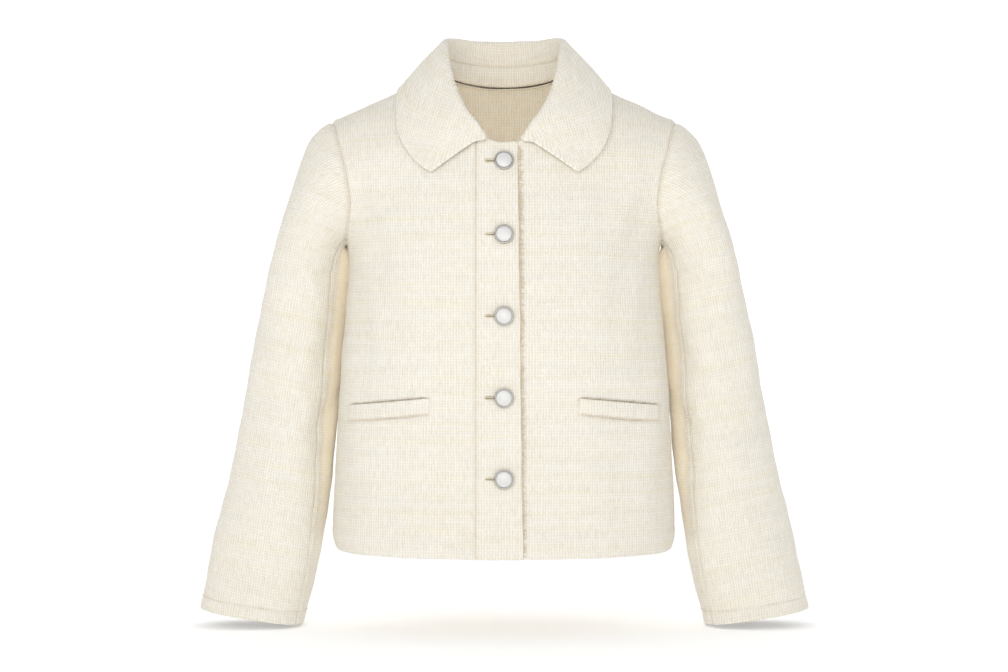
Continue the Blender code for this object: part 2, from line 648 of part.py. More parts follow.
def button_frame(z):
    """The place of a button: its origin on the band's shown face, its Z axis square to the cloth."""
    point = Vector(lifted_front(BUTTON_X, z, OVERLAP_LIFT))
    spot = on_body(BUTTON_X, z)
    out = Vector(body_normal(spot[..., 0], spot[..., 1], FRONT))
    sideways = Vector((1, 0, 0))
    upwards = out.cross(sideways).normalized()
    return Matrix.Translation(point) @ Matrix((sideways, upwards, out)).transposed().to_4x4()


def buttonhole_cutter(number, z):
    mesh = bpy.data.meshes.new(f"buttonhole_cutter_{number}")
    shape = bmesh.new()
    end = BUTTON_X + BUTTONHOLE_HEIGHT / 2
    size = Vector((BUTTONHOLE_LENGTH, BUTTONHOLE_HEIGHT, 4 * WALL))
    middle = Vector((end - BUTTONHOLE_LENGTH / 2, 0, -WALL / 2))
    bmesh.ops.create_cube(shape, size=1.0, matrix=Matrix.Translation(middle) @ Matrix.Diagonal((*size, 1)))
    shape.to_mesh(mesh)
    shape.free()
    cutter = bpy.data.objects.new(mesh.name, mesh)
    cutter.matrix_world = button_frame(z)
    cutter.hide_render = True
    cutter.display_type = "WIRE"
    bpy.context.scene.collection.objects.link(cutter)
    return cutter


def add_turned(name, profile, place, finish):
    """A solid turned round its Z axis from a profile of (radius, height), from the axis to the axis."""
    shape = bmesh.new()
    points = [shape.verts.new((radius, 0, height)) for radius, height in profile]
    edges = [shape.edges.new(pair) for pair in zip(points, points[1:])]
    bmesh.ops.spin(shape, geom=points + edges, axis=(0, 0, 1), cent=(0, 0, 0), steps=BUTTON_SIDES,
                   angle=2 * math.pi)
    bmesh.ops.remove_doubles(shape, verts=shape.verts, dist=1e-6)
    add_object(name, shape, finish, place)


def button(number, z):
    """A metal cup on a shank that goes through the buttonhole, with a domed cap set in it."""
    rim = BUTTON_RADIUS
    well = rim - RIM_WALL
    shank_end = SEAM_GAP - OVERLAP_LIFT
    cup = ((0, shank_end), (SHANK_RADIUS, shank_end), (SHANK_RADIUS, SEAM_GAP), (rim - RIM_BEVEL, SEAM_GAP),
           (rim, RIM_BEVEL), (rim, RIM_TOP - RIM_WALL / 2), (rim - RIM_WALL / 2, RIM_TOP),
           (well, RIM_INNER_TOP), (well, RIM_FLOOR), (0, RIM_FLOOR))
    seat = well - SEAM_GAP
    base = RIM_FLOOR + SEAM_GAP
    cap = ((0, base), (seat, base), *((seat * share, height) for share, height in CAP_DOME))
    place = button_frame(z)
    add_turned(f"button_rim_{number}", cup, place, SILVER)
    add_turned(f"button_cap_{number}", cap, place, PEARL)


# ---- The jacket ----


def build_jacket():
    for old in list(bpy.data.objects):
        bpy.data.objects.remove(old)
    front_panel("front_right", -1, -BAND_SEAM_X, lifted=True)
    front_panel("front_left", 1, -UNDERLAP_X, lifted=False)
    back_panel()
    front_band()
    front_fringe()
    for side, word in ((-1, "right"), (1, "left")):
        pocket_welt(f"pocket_welt_{word}", side)
        sleeve_panel(f"sleeve_top_{word}", side, BACK_SEAM_STEP - SLEEVE_STEPS, FRONT_SEAM_STEP)
        sleeve_panel(f"sleeve_under_{word}", side, FRONT_SEAM_STEP, BACK_SEAM_STEP)
    collar()
    for number, gap in enumerate(BUTTON_GAPS, 1):
        button(number, BUTTON_TOP_Z - gap)


build_jacket()
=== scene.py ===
"""The cropped tweed jacket's looks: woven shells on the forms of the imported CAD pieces, buttons, stitches
and a pale studio.

Metres, +Z up. The front faces -Y and the wearer's left is +X. The body's cloth is worked out in two
coordinates, as in the CAD. `across` is 0 on the centre line and 1 at the side. `down` is the distance
along the cloth from the shoulder line.
"""

import math
from collections import namedtuple

import bmesh
import bpy
import numpy as np
from mathutils import Matrix, Vector


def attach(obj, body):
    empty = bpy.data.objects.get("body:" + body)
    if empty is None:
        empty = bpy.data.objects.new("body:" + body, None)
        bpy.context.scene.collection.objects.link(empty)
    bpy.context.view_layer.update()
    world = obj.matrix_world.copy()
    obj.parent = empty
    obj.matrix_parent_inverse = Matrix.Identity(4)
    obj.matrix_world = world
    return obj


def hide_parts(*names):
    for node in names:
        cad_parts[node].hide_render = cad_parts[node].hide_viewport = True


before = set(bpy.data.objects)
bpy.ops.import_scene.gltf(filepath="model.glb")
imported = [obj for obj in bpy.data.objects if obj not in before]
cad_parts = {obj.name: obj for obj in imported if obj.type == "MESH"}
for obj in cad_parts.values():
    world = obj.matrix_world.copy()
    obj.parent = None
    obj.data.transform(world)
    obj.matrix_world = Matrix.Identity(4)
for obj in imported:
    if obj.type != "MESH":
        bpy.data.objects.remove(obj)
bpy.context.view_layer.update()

# Cloth
WALL = 0.0022  # one layer of tweed, interlined
COLLAR_WALL = 0.0028  # two layers, pressed
OVERLAP_LIFT = WALL + 0.0006  # how far the buttoned front stands out over the one beneath

# Body
HEM_DROP = 0.533
HEM_SIDE_RISE = 0.0045  # how much shorter the cloth is at the side seams
UNDERARM_DROP = 0.148
SQUARENESS = 2.4  # 2 makes elliptical sections, more makes squarer ones
SHOULDER_ROUND = 0.085  # height over which the front and back round over into the shoulder line
SHOULDER_SLOPE = 0.466
SHOULDER_EASE = 0.050
SHOULDER_POINT_X = 0.192
SLOPE_FADES = (0.11, 0.42)  # drops between which the shoulder's slope levels out towards the hem
FRONT, BACK = -1, 1

# drop: below the shoulder line. half_width, front and back: how far the section reaches
Level = namedtuple("Level", "drop half_width front back")
LEVELS = (
    Level(0.000, 0.2600, 0.072, 0.075),
    Level(0.035, 0.2376, 0.077, 0.084),
    Level(0.076, 0.2050, 0.086, 0.095),
    Level(0.110, 0.1847, 0.094, 0.102),
    Level(0.148, 0.1760, 0.104, 0.107),
    Level(0.210, 0.1755, 0.115, 0.109),
    Level(0.270, 0.1775, 0.120, 0.108),
    Level(0.355, 0.1830, 0.122, 0.108),
    Level(0.440, 0.1888, 0.123, 0.110),
    Level(0.500, 0.1907, 0.124, 0.113),
    Level(0.522, 0.1900, 0.1235, 0.113),
    Level(0.533, 0.1865, 0.1220, 0.111),
)

# Neckline
NECK_HALF = 0.063
NECK_FRONT_DROP = 0.0865
NECK_BACK_DROP = 0.0104
NECK_ROUNDNESS = 1.2  # 1 makes an ellipse, more brings it towards a V

# Armhole: how deep its lower curve is scooped, less is deeper
ARMHOLE_SCOOP = {FRONT: 0.85, BACK: 1.0}

# Front edges, as x on the body. The wearer's right front is on top
BAND_SEAM_X = -0.0305
BAND_EDGE_TOP_X = 0.0145
BAND_EDGE_HEM_X = 0.0192
BAND_CORNER = 0.006
LIFT_STARTS_X = -0.056
UNDERLAP_X = 0.026
FRINGE_REACH = 0.0050

# Sleeves. Each ring round a sleeve is given by its middle, its reach, its tilt outwards in degrees, and how
# far it is turned, in degrees, so that its inner side lies along the curve of the body's back
Ring = namedtuple("Ring", "along x y z half_width half_depth tilt turned")
SLEEVE_RINGS = (
    Ring(0.0, 0.2195, 0.017, -0.2250, 0.0400, 0.0640, 14.0, 12.0),
    Ring(0.2, 0.2300, 0.016, -0.3000, 0.0460, 0.0610, 13.0, 13.0),
    Ring(0.4, 0.2405, 0.016, -0.3800, 0.0510, 0.0570, 12.5, 14.0),
    Ring(0.6, 0.2530, 0.012, -0.4600, 0.0560, 0.0530, 12.0, 12.0),
    Ring(0.8, 0.2665, 0.007, -0.5300, 0.0595, 0.0490, 11.0, 8.0),
    Ring(1.0, 0.2825, 0.002, -0.6065, 0.0585, 0.0450, 8.5, 4.0),
)
CAP_SWELL, UNDERARM_TURN = 0.038, 0.008  # how far the cap's curve heads out of the armhole, top and bottom
CAP_FALL, UNDERARM_FALL = 0.114, 0.020  # and how far it comes straight into the top ring
CAP_SWELL_POWER, CAP_FALL_POWER = 1.3, 1.5  # more keeps both to the top of the sleeve
CAP_FORWARD, CAP_UPWARD = 0.25, 0.36  # the cap's lean as it leaves the armhole, for each metre outwards
INNER_SQUARENESS = 2.7  # the side pressed towards the body is flatter
OUTER_SQUARENESS = 2.15

# Collar. along: 0 at the centre back, 1 at the high point of the shoulder, 2 at the collar's front end
COLLAR_END_X = 0.0195
STAND_SHARE = 0.45  # how much of the rise the stand makes
FALL_UPWARD = 0.5  # the fall swells out, and up by this much of that
RISE_SHARE, ROLL_SHARE = 0.20, 0.35  # of the leaf's rows, where its rise ends and where its roll ends
STAND_BASE_GAP = 0.0017
NECK_EDGE_PULL = 0.0008  # how far the panels' neck edges stay below the neckline, under the stand
LEAF_CLEARANCE = OVERLAP_LIFT + COLLAR_WALL / 2 + 0.0005  # between the body's form and the leaf's middle
# rise: neckline to the roll. roll: radius of the fold. edge_x, edge_down: where the leaf's outer edge lies
# on the body, edge_down being along the cloth from the shoulder line, less than 0 on the back. bulge: how
# far the fall swells out, as a share of its length
CollarStation = namedtuple("CollarStation", "along rise roll edge_x edge_down bulge")
COLLAR = (
    CollarStation(0.00, 0.0530, 0.0040, 0.0000, -0.0860, 0.09),
    CollarStation(0.45, 0.0510, 0.0040, 0.0550, -0.0770, 0.08),
    CollarStation(0.80, 0.0455, 0.0040, 0.0990, -0.0440, 0.06),
    CollarStation(1.05, 0.0375, 0.0040, 0.1140, 0.0000, 0.05),
    CollarStation(1.35, 0.0257, 0.0036, 0.1160, 0.0740, 0.05),
    CollarStation(1.70, 0.0155, 0.0032, 0.1050, 0.1230, 0.05),
    CollarStation(2.00, 0.0080, 0.0027, 0.0800, 0.1600, 0.03),
)

# Pocket welts: ends as x and z on the body, the outer end lower
WELT_INNER = (0.0815, -0.3625)
WELT_OUTER = (0.1685, -0.3710)
WELT_RUN = WELT_OUTER[0] - WELT_INNER[0]
WELT_HEIGHT = 0.0165
WELT_GAP = 0.0005

# Buttons
BUTTON_X = 0.0
BUTTON_TOP_Z = -0.1060
BUTTON_GAPS = (0.0, 0.0798, 0.1674, 0.2550, 0.3418)  # each below the top button
BUTTON_HEIGHTS = [BUTTON_TOP_Z - gap for gap in BUTTON_GAPS]
BUTTON_RADIUS = 0.0105
SHANK = 0.0013  # radius of its shank
KEYHOLE_AT = -0.0098  # x of the buttonhole's eye, from the button's middle

# Rows and columns of the shells
FRONT_COLUMNS, BACK_COLUMNS, BODY_ROWS, CHEST_ROWS, ARMHOLE_ROWS = 72, 144, 140, 14, 56
CAP_ROWS, SLEEVE_ROWS, SLEEVE_TOP_COLUMNS, SLEEVE_UNDER_COLUMNS = 44, 150, 98, 34
STAND_ROWS, RISE_ROWS, ROLL_ROWS, FALL_ROWS, COLLAR_COLUMNS = 12, 12, 16, 43, 220
BAND_ROWS, BAND_COLUMNS, WELT_ROWS, WELT_COLUMNS = 220, 22, 16, 56

# Sleeve seams, in degrees round the sleeve
FRONT_SEAM, BACK_SEAM = 150, 240

# Weave
WARP_PITCH, WEFT_PITCH = 0.0030, 0.0032
STRIPE_PITCH = 0.0185
YARN_DRIFT = 0.0022  # how far yarns stray from straight lines
SECTION_DEPTH = 0.64  # of the body's section, as a share of its half width
GRAIN_REACH = 31  # columns of the collar over which its grain turns, on either side of each

# Creases. Each is a soft trough (depth above 0) or ridge (below 0) along a line, widest at its middle. On
# the body a place is (x, z), and x is that of the wearer's left side. On a sleeve it is (degrees round,
# along), and on the collar (along, share)
Crease = namedtuple("Crease", "start end width depth")
FRONT_CREASES = (
    Crease((0.158, -0.135), (0.118, -0.290), 0.014, 0.0041),
    Crease((0.168, -0.175), (0.150, -0.350), 0.011, 0.0035),
    Crease((0.146, -0.110), (0.120, -0.200), 0.016, -0.0022),
    Crease((0.172, -0.250), (0.160, -0.440), 0.015, -0.0024),
    Crease((0.092, -0.165), (0.075, -0.420), 0.030, -0.0018),
    Crease((0.120, -0.400), (0.135, -0.530), 0.022, 0.0022),
    Crease((0.060, -0.410), (0.055, -0.530), 0.020, 0.0014),
    Crease((0.178, -0.400), (0.176, -0.520), 0.012, 0.0019),
)
BACK_CREASES = (
    Crease((0.160, -0.130), (0.105, -0.300), 0.016, 0.0061),
    Crease((0.166, -0.190), (0.140, -0.380), 0.012, 0.0046),
    Crease((0.110, -0.120), (0.085, -0.330), 0.026, -0.0034),
    Crease((0.050, -0.060), (0.060, -0.260), 0.030, 0.0027),
    Crease((0.125, -0.360), (0.140, -0.530), 0.020, 0.0038),
    Crease((0.045, -0.350), (0.040, -0.530), 0.024, 0.0030),
    Crease((0.090, -0.420), (0.092, -0.530), 0.020, -0.0027),
)
SLEEVE_CREASES = (
    Crease((188, 0.25), (190, 1.10), 0.020, -0.0070),
    Crease((135, 0.55), (100, 1.00), 0.013, 0.0045),
    Crease((150, 0.85), (95, 1.22), 0.014, 0.0042),
    Crease((165, 1.15), (110, 1.38), 0.012, 0.0030),
    Crease((205, 1.30), (130, 1.46), 0.012, 0.0039),
    Crease((190, 1.45), (105, 1.58), 0.013, 0.0033),
    Crease((60, 0.65), (48, 1.15), 0.020, -0.0021),
    Crease((75, 1.30), (60, 1.72), 0.022, 0.0021),
    Crease((20, 0.95), (12, 1.50), 0.030, -0.0018),
    Crease((225, 0.60), (262, 1.05), 0.014, 0.0048),
    Crease((215, 0.95), (270, 1.28), 0.013, 0.0039),
    Crease((235, 1.35), (285, 1.55), 0.015, 0.0033),
    Crease((300, 0.75), (310, 1.30), 0.024, 0.0024),
    Crease((250, 1.62), (255, 1.95), 0.018, 0.0021),
    Crease((120, 1.60), (112, 1.92), 0.016, 0.0018),
)
COLLAR_CREASES = (
    Crease((-0.75, 0.060), (0.35, 0.075), 0.0035, 0.0007),
    Crease((-0.30, 0.130), (0.80, 0.115), 0.0035, 0.0006),
    Crease((-0.90, 0.165), (-0.10, 0.155), 0.0030, 0.0005),
    Crease((1.30, 0.40), (1.75, 0.70), 0.012, 0.0006),
    Crease((-1.30, 0.42), (-1.70, 0.68), 0.012, 0.0006),
)
SLEEVE_SCALE = np.array([0.00095, 0.38])  # metres for one degree round a sleeve, and for one unit along it
COLLAR_SCALE = np.array([0.10, 0.13])  # metres for one unit of along, and of share
END_METRES, FALL_METRES = 0.150, 0.130  # the same near the collar's points
UNEVENNESS = {1: (1, 11), -1: (1.13, 5)}  # stretch and seed of the slow unevenness, by side
POINT_RADIUS = 0.0045  # of the collar's rounded points
END_DROP = 0.0055  # the collar's roll sinks towards its front ends

# Seams, slits and stitches
SEAM_DIP, SEAM_WIDTH = 0.0014, 0.0018  # the groove along a seam
SEAM_SWELL = 0.35  # and the swell past it, as a share of its depth
SLIT_DEPTH = 0.0026
CUFF_STITCH = 0.0135  # from the cuff's edge up to its stitches
HEM_STITCH, HEM_STITCH_DEPTH = 0.0240, 0.0004

# Colours. A pair is what a material's clouds vary between
# Each PIT colour is its TOP colour painted darker: painted shade in the weave's low places, between the
# yarns
CLOTH_TOP = (0.885, 0.86, 0.805, 1.0)
CLOTH_PIT_SHADE = (0.69, 0.635, 0.51, 1.0)
STRAW_TOP = (0.88, 0.84, 0.70, 1.0)
STRAW_PIT_SHADE = (0.66, 0.58, 0.38, 1.0)
CLOTH_COOL = (0.90, 0.89, 0.91, 1.0)
CLOTH_WARM = (0.97, 0.93, 0.86, 1.0)
CLOTH_SHADE = (0.60, 0.48, 0.34, 1.0)  # in seams and slits
THREAD = (0.86, 0.80, 0.66, 1.0), (0.72, 0.62, 0.44, 1.0)
FRAY = (0.84, 0.76, 0.60, 1.0), (0.62, 0.50, 0.34, 1.0)
SILVER = (0.36, 0.345, 0.32, 1.0), (0.54, 0.52, 0.49, 1.0)
PEARL = (0.70, 0.695, 0.68, 1.0), (0.60, 0.615, 0.63, 1.0)
PEARL_STREAK = (0.76, 0.73, 0.67, 1.0)

# Painted light on the under sleeves: a warm emission on their inner sides, by the body, brightening the
# shaded gap there. It rises, then falls, from a place and over a length, in degrees round the sleeve and in
# units along it
PAINTED_LIGHT_COLOUR, PAINTED_LIGHT_STRENGTH = (1.0, 0.84, 0.60, 1.0), 0.27
PAINTED_LIGHT_ROUND = (150, 22), (182, 26)
PAINTED_LIGHT_ALONG = (0.10, 0.25), (1.45, 0.50)

# Studio. Lights: name, place, turn in degrees, size, watts, colour
CAMERA_AT, CAMERA_LENS, CAMERA_SENSOR = (0.0, -2.667, -0.2946), 85, 36
FLOOR_Z, FLOOR_GLOW, FLOOR_GREYS = -0.6185, 0.33, ((0.84, 0.84, 0.84, 1.0), (0.86, 0.86, 0.86, 1.0))
WALL_Y, WALL_GLOW, WALL_GREY = 3.4, 1.0, (0.3, 0.3, 0.3, 1.0)
STUDIO_REACH, STUDIO_HEIGHT = 12.0, 6.0
WORLD_STRENGTH = 0.60
WHITE = (1.0, 1.0, 1.0, 1.0)
INSIDE_COLOUR, INSIDE_RADIUS = (1.0, 0.88, 0.70), 0.05
INSIDE_AT, INSIDE_WATTS = (0.0, -0.02, -0.19), 0.22  # light through the cloth, gathered in one soft lamp
LIGHTS = (
    ("key", (-0.9, -3.0, 0.8), (69, 0, -17), (2.4, 2.0), 26.0, (1.0, 0.99, 0.97)),
    ("fill", (0.5, -3.2, -0.1), (87, 0, 9), (2.0, 1.6), 20.0, (1.0, 0.98, 0.95)),
)

UP = np.array([0.0, 0.0, 1.0])


# ---- Curves through tables ----


def smooth(table, column, at):
    """A column of a table, read anywhere along a smooth curve through its rows."""
    keys = np.array([row[0] for row in table])
    values = np.array([getattr(row, column) for row in table])
    slopes = np.gradient(values, keys)
    at = np.clip(at, keys[0], keys[-1])
    i = np.clip(np.searchsorted(keys, at, side="right") - 1, 0, len(keys) - 2)
    width = keys[i + 1] - keys[i]
    t = (at - keys[i]) / width
    rise = values[i] * (1 + 2 * t) * (1 - t) ** 2 + values[i + 1] * t * t * (3 - 2 * t)
    return rise + width * (slopes[i] * t * (1 - t) ** 2 - slopes[i + 1] * t * t * (1 - t))


def ease(t):
    """0 to 1, level at both ends."""
    t = np.clip(t, 0.0, 1.0)
    return t * t * (3 - 2 * t)


def rise_then_fall(value, rise, fall):
    """0 to 1 and back to 0. rise and fall say where each starts and how long it is."""
    return ease((value - rise[0]) / rise[1]) * (1 - ease((value - fall[0]) / fall[1]))


def bell(away, width):
    """1 at 0, fading softly on both sides."""
    return np.exp(-(away / width) ** 2)


def run_along(line):
    """The distance along a line to each of its points."""
    return np.concatenate([[0.0], np.cumsum(np.linalg.norm(np.diff(line, axis=0), axis=1))])


def sample(line, run, at):
    """Points of a line at given distances along it."""
    return np.stack([np.interp(at, run, line[:, k]) for k in range(line.shape[1])], axis=1)


def evenly(line, count):
    """count + 1 points, evenly spaced along a line."""
    run = run_along(line)
    return sample(line, run, np.linspace(0, run[-1], count + 1))


def unit(vectors):
    return vectors / np.linalg.norm(vectors, axis=-1, keepdims=True)


# ---- The body's form ----


def shoulder_height(x):
    """The shoulder line over x, 0 at the high point of the shoulder."""
    return SHOULDER_SLOPE * (math.hypot(NECK_HALF, SHOULDER_EASE) - np.hypot(x, SHOULDER_EASE))


def slope_left(drop):
    """How much of the shoulder's slope is left that far below the shoulder line."""
    return 1 - ease((drop - SLOPE_FADES[0]) / (SLOPE_FADES[1] - SLOPE_FADES[0]))


def drop_of(down):
    """Height below the shoulder line, for a distance along the cloth."""
    arc = SHOULDER_ROUND * np.minimum(down / SHOULDER_ROUND, math.pi / 2)
    return SHOULDER_ROUND * (1 - np.cos(arc / SHOULDER_ROUND)) + (down - arc)


def down_of(drop):
    """Distance along the cloth, for a height below the shoulder line."""
    round_part = np.clip(1 - drop / SHOULDER_ROUND, 0.0, 1.0)
    return SHOULDER_ROUND * np.arccos(round_part) + np.maximum(drop - SHOULDER_ROUND, 0.0)


def body_point(spot, face):
    """The point of the body's outer face at (across, down)."""
    across, down = spot[..., 0], spot[..., 1]
    drop = drop_of(down)
    sine = np.sin(across * math.pi / 2)
    cosine = np.cos(across * math.pi / 2)
    reach = (np.abs(sine) ** SQUARENESS + np.abs(cosine) ** SQUARENESS) ** (-1 / SQUARENESS)
    depth = smooth(LEVELS, "front" if face == FRONT else "back", drop)
    rounding = np.sin(np.minimum(down / SHOULDER_ROUND, math.pi / 2))
    x = smooth(LEVELS, "half_width", drop) * reach * sine
    y = face * depth * rounding * reach * cosine
    z = shoulder_height(x) * slope_left(drop) - drop
    return np.stack(np.broadcast_arrays(x, y, z), axis=-1)


def body_normal(spot, face):
    """The outward direction of the body's cloth at (across, down)."""
    aside, below = np.array([1e-4, 0.0]), np.array([0.0, 1e-4])
    above = np.maximum(spot - below, [-np.inf, 0.0])
    sideways = body_point(spot + aside, face) - body_point(spot - aside, face)
    downwards = body_point(spot + below, face) - body_point(above, face)
    return unit(face * np.cross(sideways, downwards))


def cloth_at(spot, in_front):
    """(points, normals) of the body's outer face, on the front or on the back for each place."""
    in_front = in_front[..., None]
    return [np.where(in_front, function(spot, FRONT), function(spot, BACK))
            for function in (body_point, body_normal)]


def across_at(x, drop):
    """The place across the cloth over x, that far below the shoulder line."""
    share = np.asarray(x) / smooth(LEVELS, "half_width", drop)
    left = np.maximum(1 - np.abs(share) ** SQUARENESS, 0.0) ** (1 / SQUARENESS)
    return np.arctan2(share, left) / (math.pi / 2)


def on_body(x, z):
    """(across, down) of the cloth at a given x and z."""
    x, z = np.broadcast_arrays(np.asarray(x, float), np.asarray(z, float))
    drop = shoulder_height(x) - z
    for _ in range(8):
        drop = shoulder_height(x) * slope_left(drop) - z
    drop = np.maximum(drop, 0.0)
    return np.stack([across_at(x, drop), down_of(drop)], axis=-1)


def neckline(turn, face, pull=0.0):
    """(across, down) along the neckline, from turn 0 at the shoulder to 1 at the centre, and level
    beyond it. pull widens it."""
    angle = turn * math.pi / 2
    drop = NECK_FRONT_DROP if face == FRONT else NECK_BACK_DROP
    fall = np.sin(np.minimum(angle, math.pi / 2)) ** NECK_ROUNDNESS
    return on_body((NECK_HALF + pull) * np.cos(angle), -pull - drop * fall)


def armhole(turn, face):
    """(across, down) along the armhole, from the shoulder point at turn 0 to the underarm at turn 1."""
    angle = np.asarray(turn) * math.pi / 2
    start = across_at(SHOULDER_POINT_X, 0.0)
    across = start + (1 - start) * (1 - np.cos(angle)) ** ARMHOLE_SCOOP[face]
    return np.stack([across, down_of(UNDERARM_DROP * np.sin(angle))], axis=-1)


# ---- Panels in the body's coordinates ----


def patch(left, right, bottom, top, share):
    """A grid of points between four edges, rows from the bottom up and columns from left to right."""
    u = share[None, :, None]
    climb = left[:, 1] - left[0, 1] + right[:, 1] - right[0, 1]
    v = (climb / climb[-1])[:, None, None]
    sides = (1 - u) * left[:, None] + u * right[:, None]
    ends = (1 - v) * bottom[None] + v * top[None]
    lower = (1 - u) * bottom[0] + u * bottom[-1]
    upper = (1 - u) * top[0] + u * top[-1]
    return sides + ends - (1 - v) * lower - v * upper


def overlap_lift(x):
    """How far the buttonhole side stands out over the form."""
    return OVERLAP_LIFT * ease((x - LIFT_STARTS_X) / (BAND_SEAM_X - LIFT_STARTS_X))


def hem_down(across):
    """The hem, as its distance along the cloth from the shoulder line."""
    return down_of(HEM_DROP) - HEM_SIDE_RISE * np.abs(across) ** 3


def band_edge_x(z):
    return BAND_EDGE_TOP_X + (BAND_EDGE_HEM_X - BAND_EDGE_TOP_X) * (-z / HEM_DROP)


def neck_z_at(x):
    """Height of the front neckline over x."""
    return -NECK_FRONT_DROP * np.sin(np.arccos(np.clip(np.abs(x) / NECK_HALF, 0, 1))) ** NECK_ROUNDNESS


def lifted_front(x, z, lift):
    """Points over the front at x and z, that far out of the form."""
    spot = on_body(x, z)
    lift = np.broadcast_to(lift, spot.shape[:-1])[..., None]
    return body_point(spot, FRONT) + body_normal(spot, FRONT) * lift


def ring_point(angle, along):
    """A point of the sleeve below its cap. angle: 0 outside, 90 front, 180 beside the body, 270 back.
    along: 0 at the top ring and 1 at the cuff."""
    x, y, z, half_width, half_depth, tilt, turned = (
        smooth(SLEEVE_RINGS, column, along) for column in Ring._fields[1:])
    sine, cosine = np.sin(np.radians(angle)), np.cos(np.radians(angle))
    power = np.where(cosine < 0, INNER_SQUARENESS, OUTER_SQUARENESS)
    reach = (np.abs(sine) ** power + np.abs(cosine) ** power) ** (-1 / power)
    flat_out = half_width * reach * cosine
    flat_forward = half_depth * reach * sine
    tilt, turned = np.radians(tilt), np.radians(turned)
    out = flat_out * np.cos(turned) + flat_forward * np.sin(turned)
    forward = flat_forward * np.cos(turned) - flat_out * np.sin(turned)
    point = (x + out * np.cos(tilt), y - forward, z + out * np.sin(tilt))
    return np.stack(np.broadcast_arrays(*point), axis=-1)


def armhole_ring(angle):
    """(point, normal) of the body's armhole edge for an angle round the sleeve."""
    turn, in_front = np.minimum(angle, 360 - angle) / 180, angle <= 180
    return cloth_at(np.where(in_front[..., None], armhole(turn, FRONT), armhole(turn, BACK)), in_front)


def cap_point(angle, along):
    """A point of the sleeve's cap, from the armhole at 0 to the top ring at 1, along a Bezier curve."""
    start, _ = armhole_ring(angle)
    end = ring_point(angle, 0.0)
    below = ring_point(angle, 0.02)
    topness = (1 + np.cos(np.radians(angle))) / 2
    sine, cosine = np.sin(np.radians(angle)), np.cos(np.radians(angle))
    leave = np.stack([np.ones_like(angle), -CAP_FORWARD * sine, CAP_UPWARD * -cosine], axis=-1)
    leave_by = UNDERARM_TURN + (CAP_SWELL - UNDERARM_TURN) * topness**CAP_SWELL_POWER
    arrive_by = UNDERARM_FALL + (CAP_FALL - UNDERARM_FALL) * topness**CAP_FALL_POWER
    first = start + unit(leave) * leave_by[..., None]
    second = end + unit(end - below) * arrive_by[..., None]
    t = along[..., None]
    return (start * (1 - t) ** 3 + 3 * first * t * (1 - t) ** 2
            + 3 * second * t * t * (1 - t) + end * t**3)


def sleeve_point(angle, along):
    """A point of the whole sleeve. along: 0 at the armhole, 1 at the top ring and 2 at the cuff."""
    angle, along = np.broadcast_arrays(np.asarray(angle, float), np.asarray(along, float))
    cap = cap_point(angle, np.clip(along, 0, 1))
    tube = ring_point(angle, np.clip(along - 1, 0, 1))
    return np.where((along < 1)[..., None], cap, tube)


def sleeve_normal(angle, along):
    turn, step = 0.2, 2e-3
    around = sleeve_point((angle + turn) % 360, along) - sleeve_point((angle - turn) % 360, along)
    low = np.clip(along - step, 0, 2)
    high = np.clip(along + step, 0, 2)
    lengthways = sleeve_point(angle, high) - sleeve_point(angle, low)
    return unit(np.cross(around, lengthways))


def neck_point(along):
    """The neckline at a place round the collar: 0 centre back, 2 the collar's left end, -2 its right end."""
    end_turn = math.acos(COLLAR_END_X / NECK_HALF) / (math.pi / 2)
    place = np.abs(along)
    back = neckline(1 - np.clip(place, 0, 1), BACK)
    front = neckline(np.clip(place - 1, 0, 1) * end_turn, FRONT)
    point, normal = cloth_at(np.where((place > 1)[..., None], front, back), place > 1)
    sided = np.where(along < 0, -1.0, 1.0)[..., None] * np.array([1, 0, 0]) + np.array([0, 1, 1])
    lift = np.where((along < -1), overlap_lift(-point[..., 0]), 0.0)
    return (point + normal * (lift[..., None] - WALL / 2)) * sided


def nearest_cloth(points):
    """(across, down) of the body's cloth nearest to each point."""
    x, y, z = points[..., 0], points[..., 1], points[..., 2]
    level = on_body(x, np.minimum(z, shoulder_height(x)))
    across, down = level[..., 0], level[..., 1]
    below = np.stack([across, np.full_like(down, SHOULDER_ROUND * math.pi / 2)], axis=-1)
    half = np.abs(cloth_at(below, y < 0)[0][..., 1])
    lean = np.arctan2(np.abs(y) / half, (z - shoulder_height(x)) / SHOULDER_ROUND + 1)
    return np.stack([across, np.where(lean < math.pi / 2, SHOULDER_ROUND * lean, down)], axis=-1)


def clear_of_body(points, clearance):
    """Points moved out of the body's form until they are at least that far from it."""
    for _ in range(6):
        form, normal = cloth_at(nearest_cloth(points), points[..., 1] < 0)
        height = np.sum((points - form) * normal, axis=-1)
        points = points + normal * np.maximum(clearance - height, 0.0)[..., None]
    return points


def collar_frame(along):
    """(base, outward, rise, roll, edge, bulge) at each place round the collar."""
    base = neck_point(along)
    step = 0.02
    tangent = neck_point(np.minimum(along + step, 2.0)) - neck_point(np.maximum(along - step, -2.0))
    outward = unit(np.cross(tangent, UP))
    place = np.abs(along)
    rise, roll, edge_x, edge_down, bulge = (
        smooth(COLLAR, column, place) for column in CollarStation._fields[1:])
    down = np.abs(edge_down)
    edge_x = np.where(along < 0, -edge_x, edge_x)
    spot = np.stack([across_at(edge_x, drop_of(down)), down], axis=-1)
    edge, normal = cloth_at(spot, edge_down > 0)
    edge = edge + normal * LEAF_CLEARANCE
    return base, -outward, rise[..., None], roll[..., None], edge, bulge[..., None]


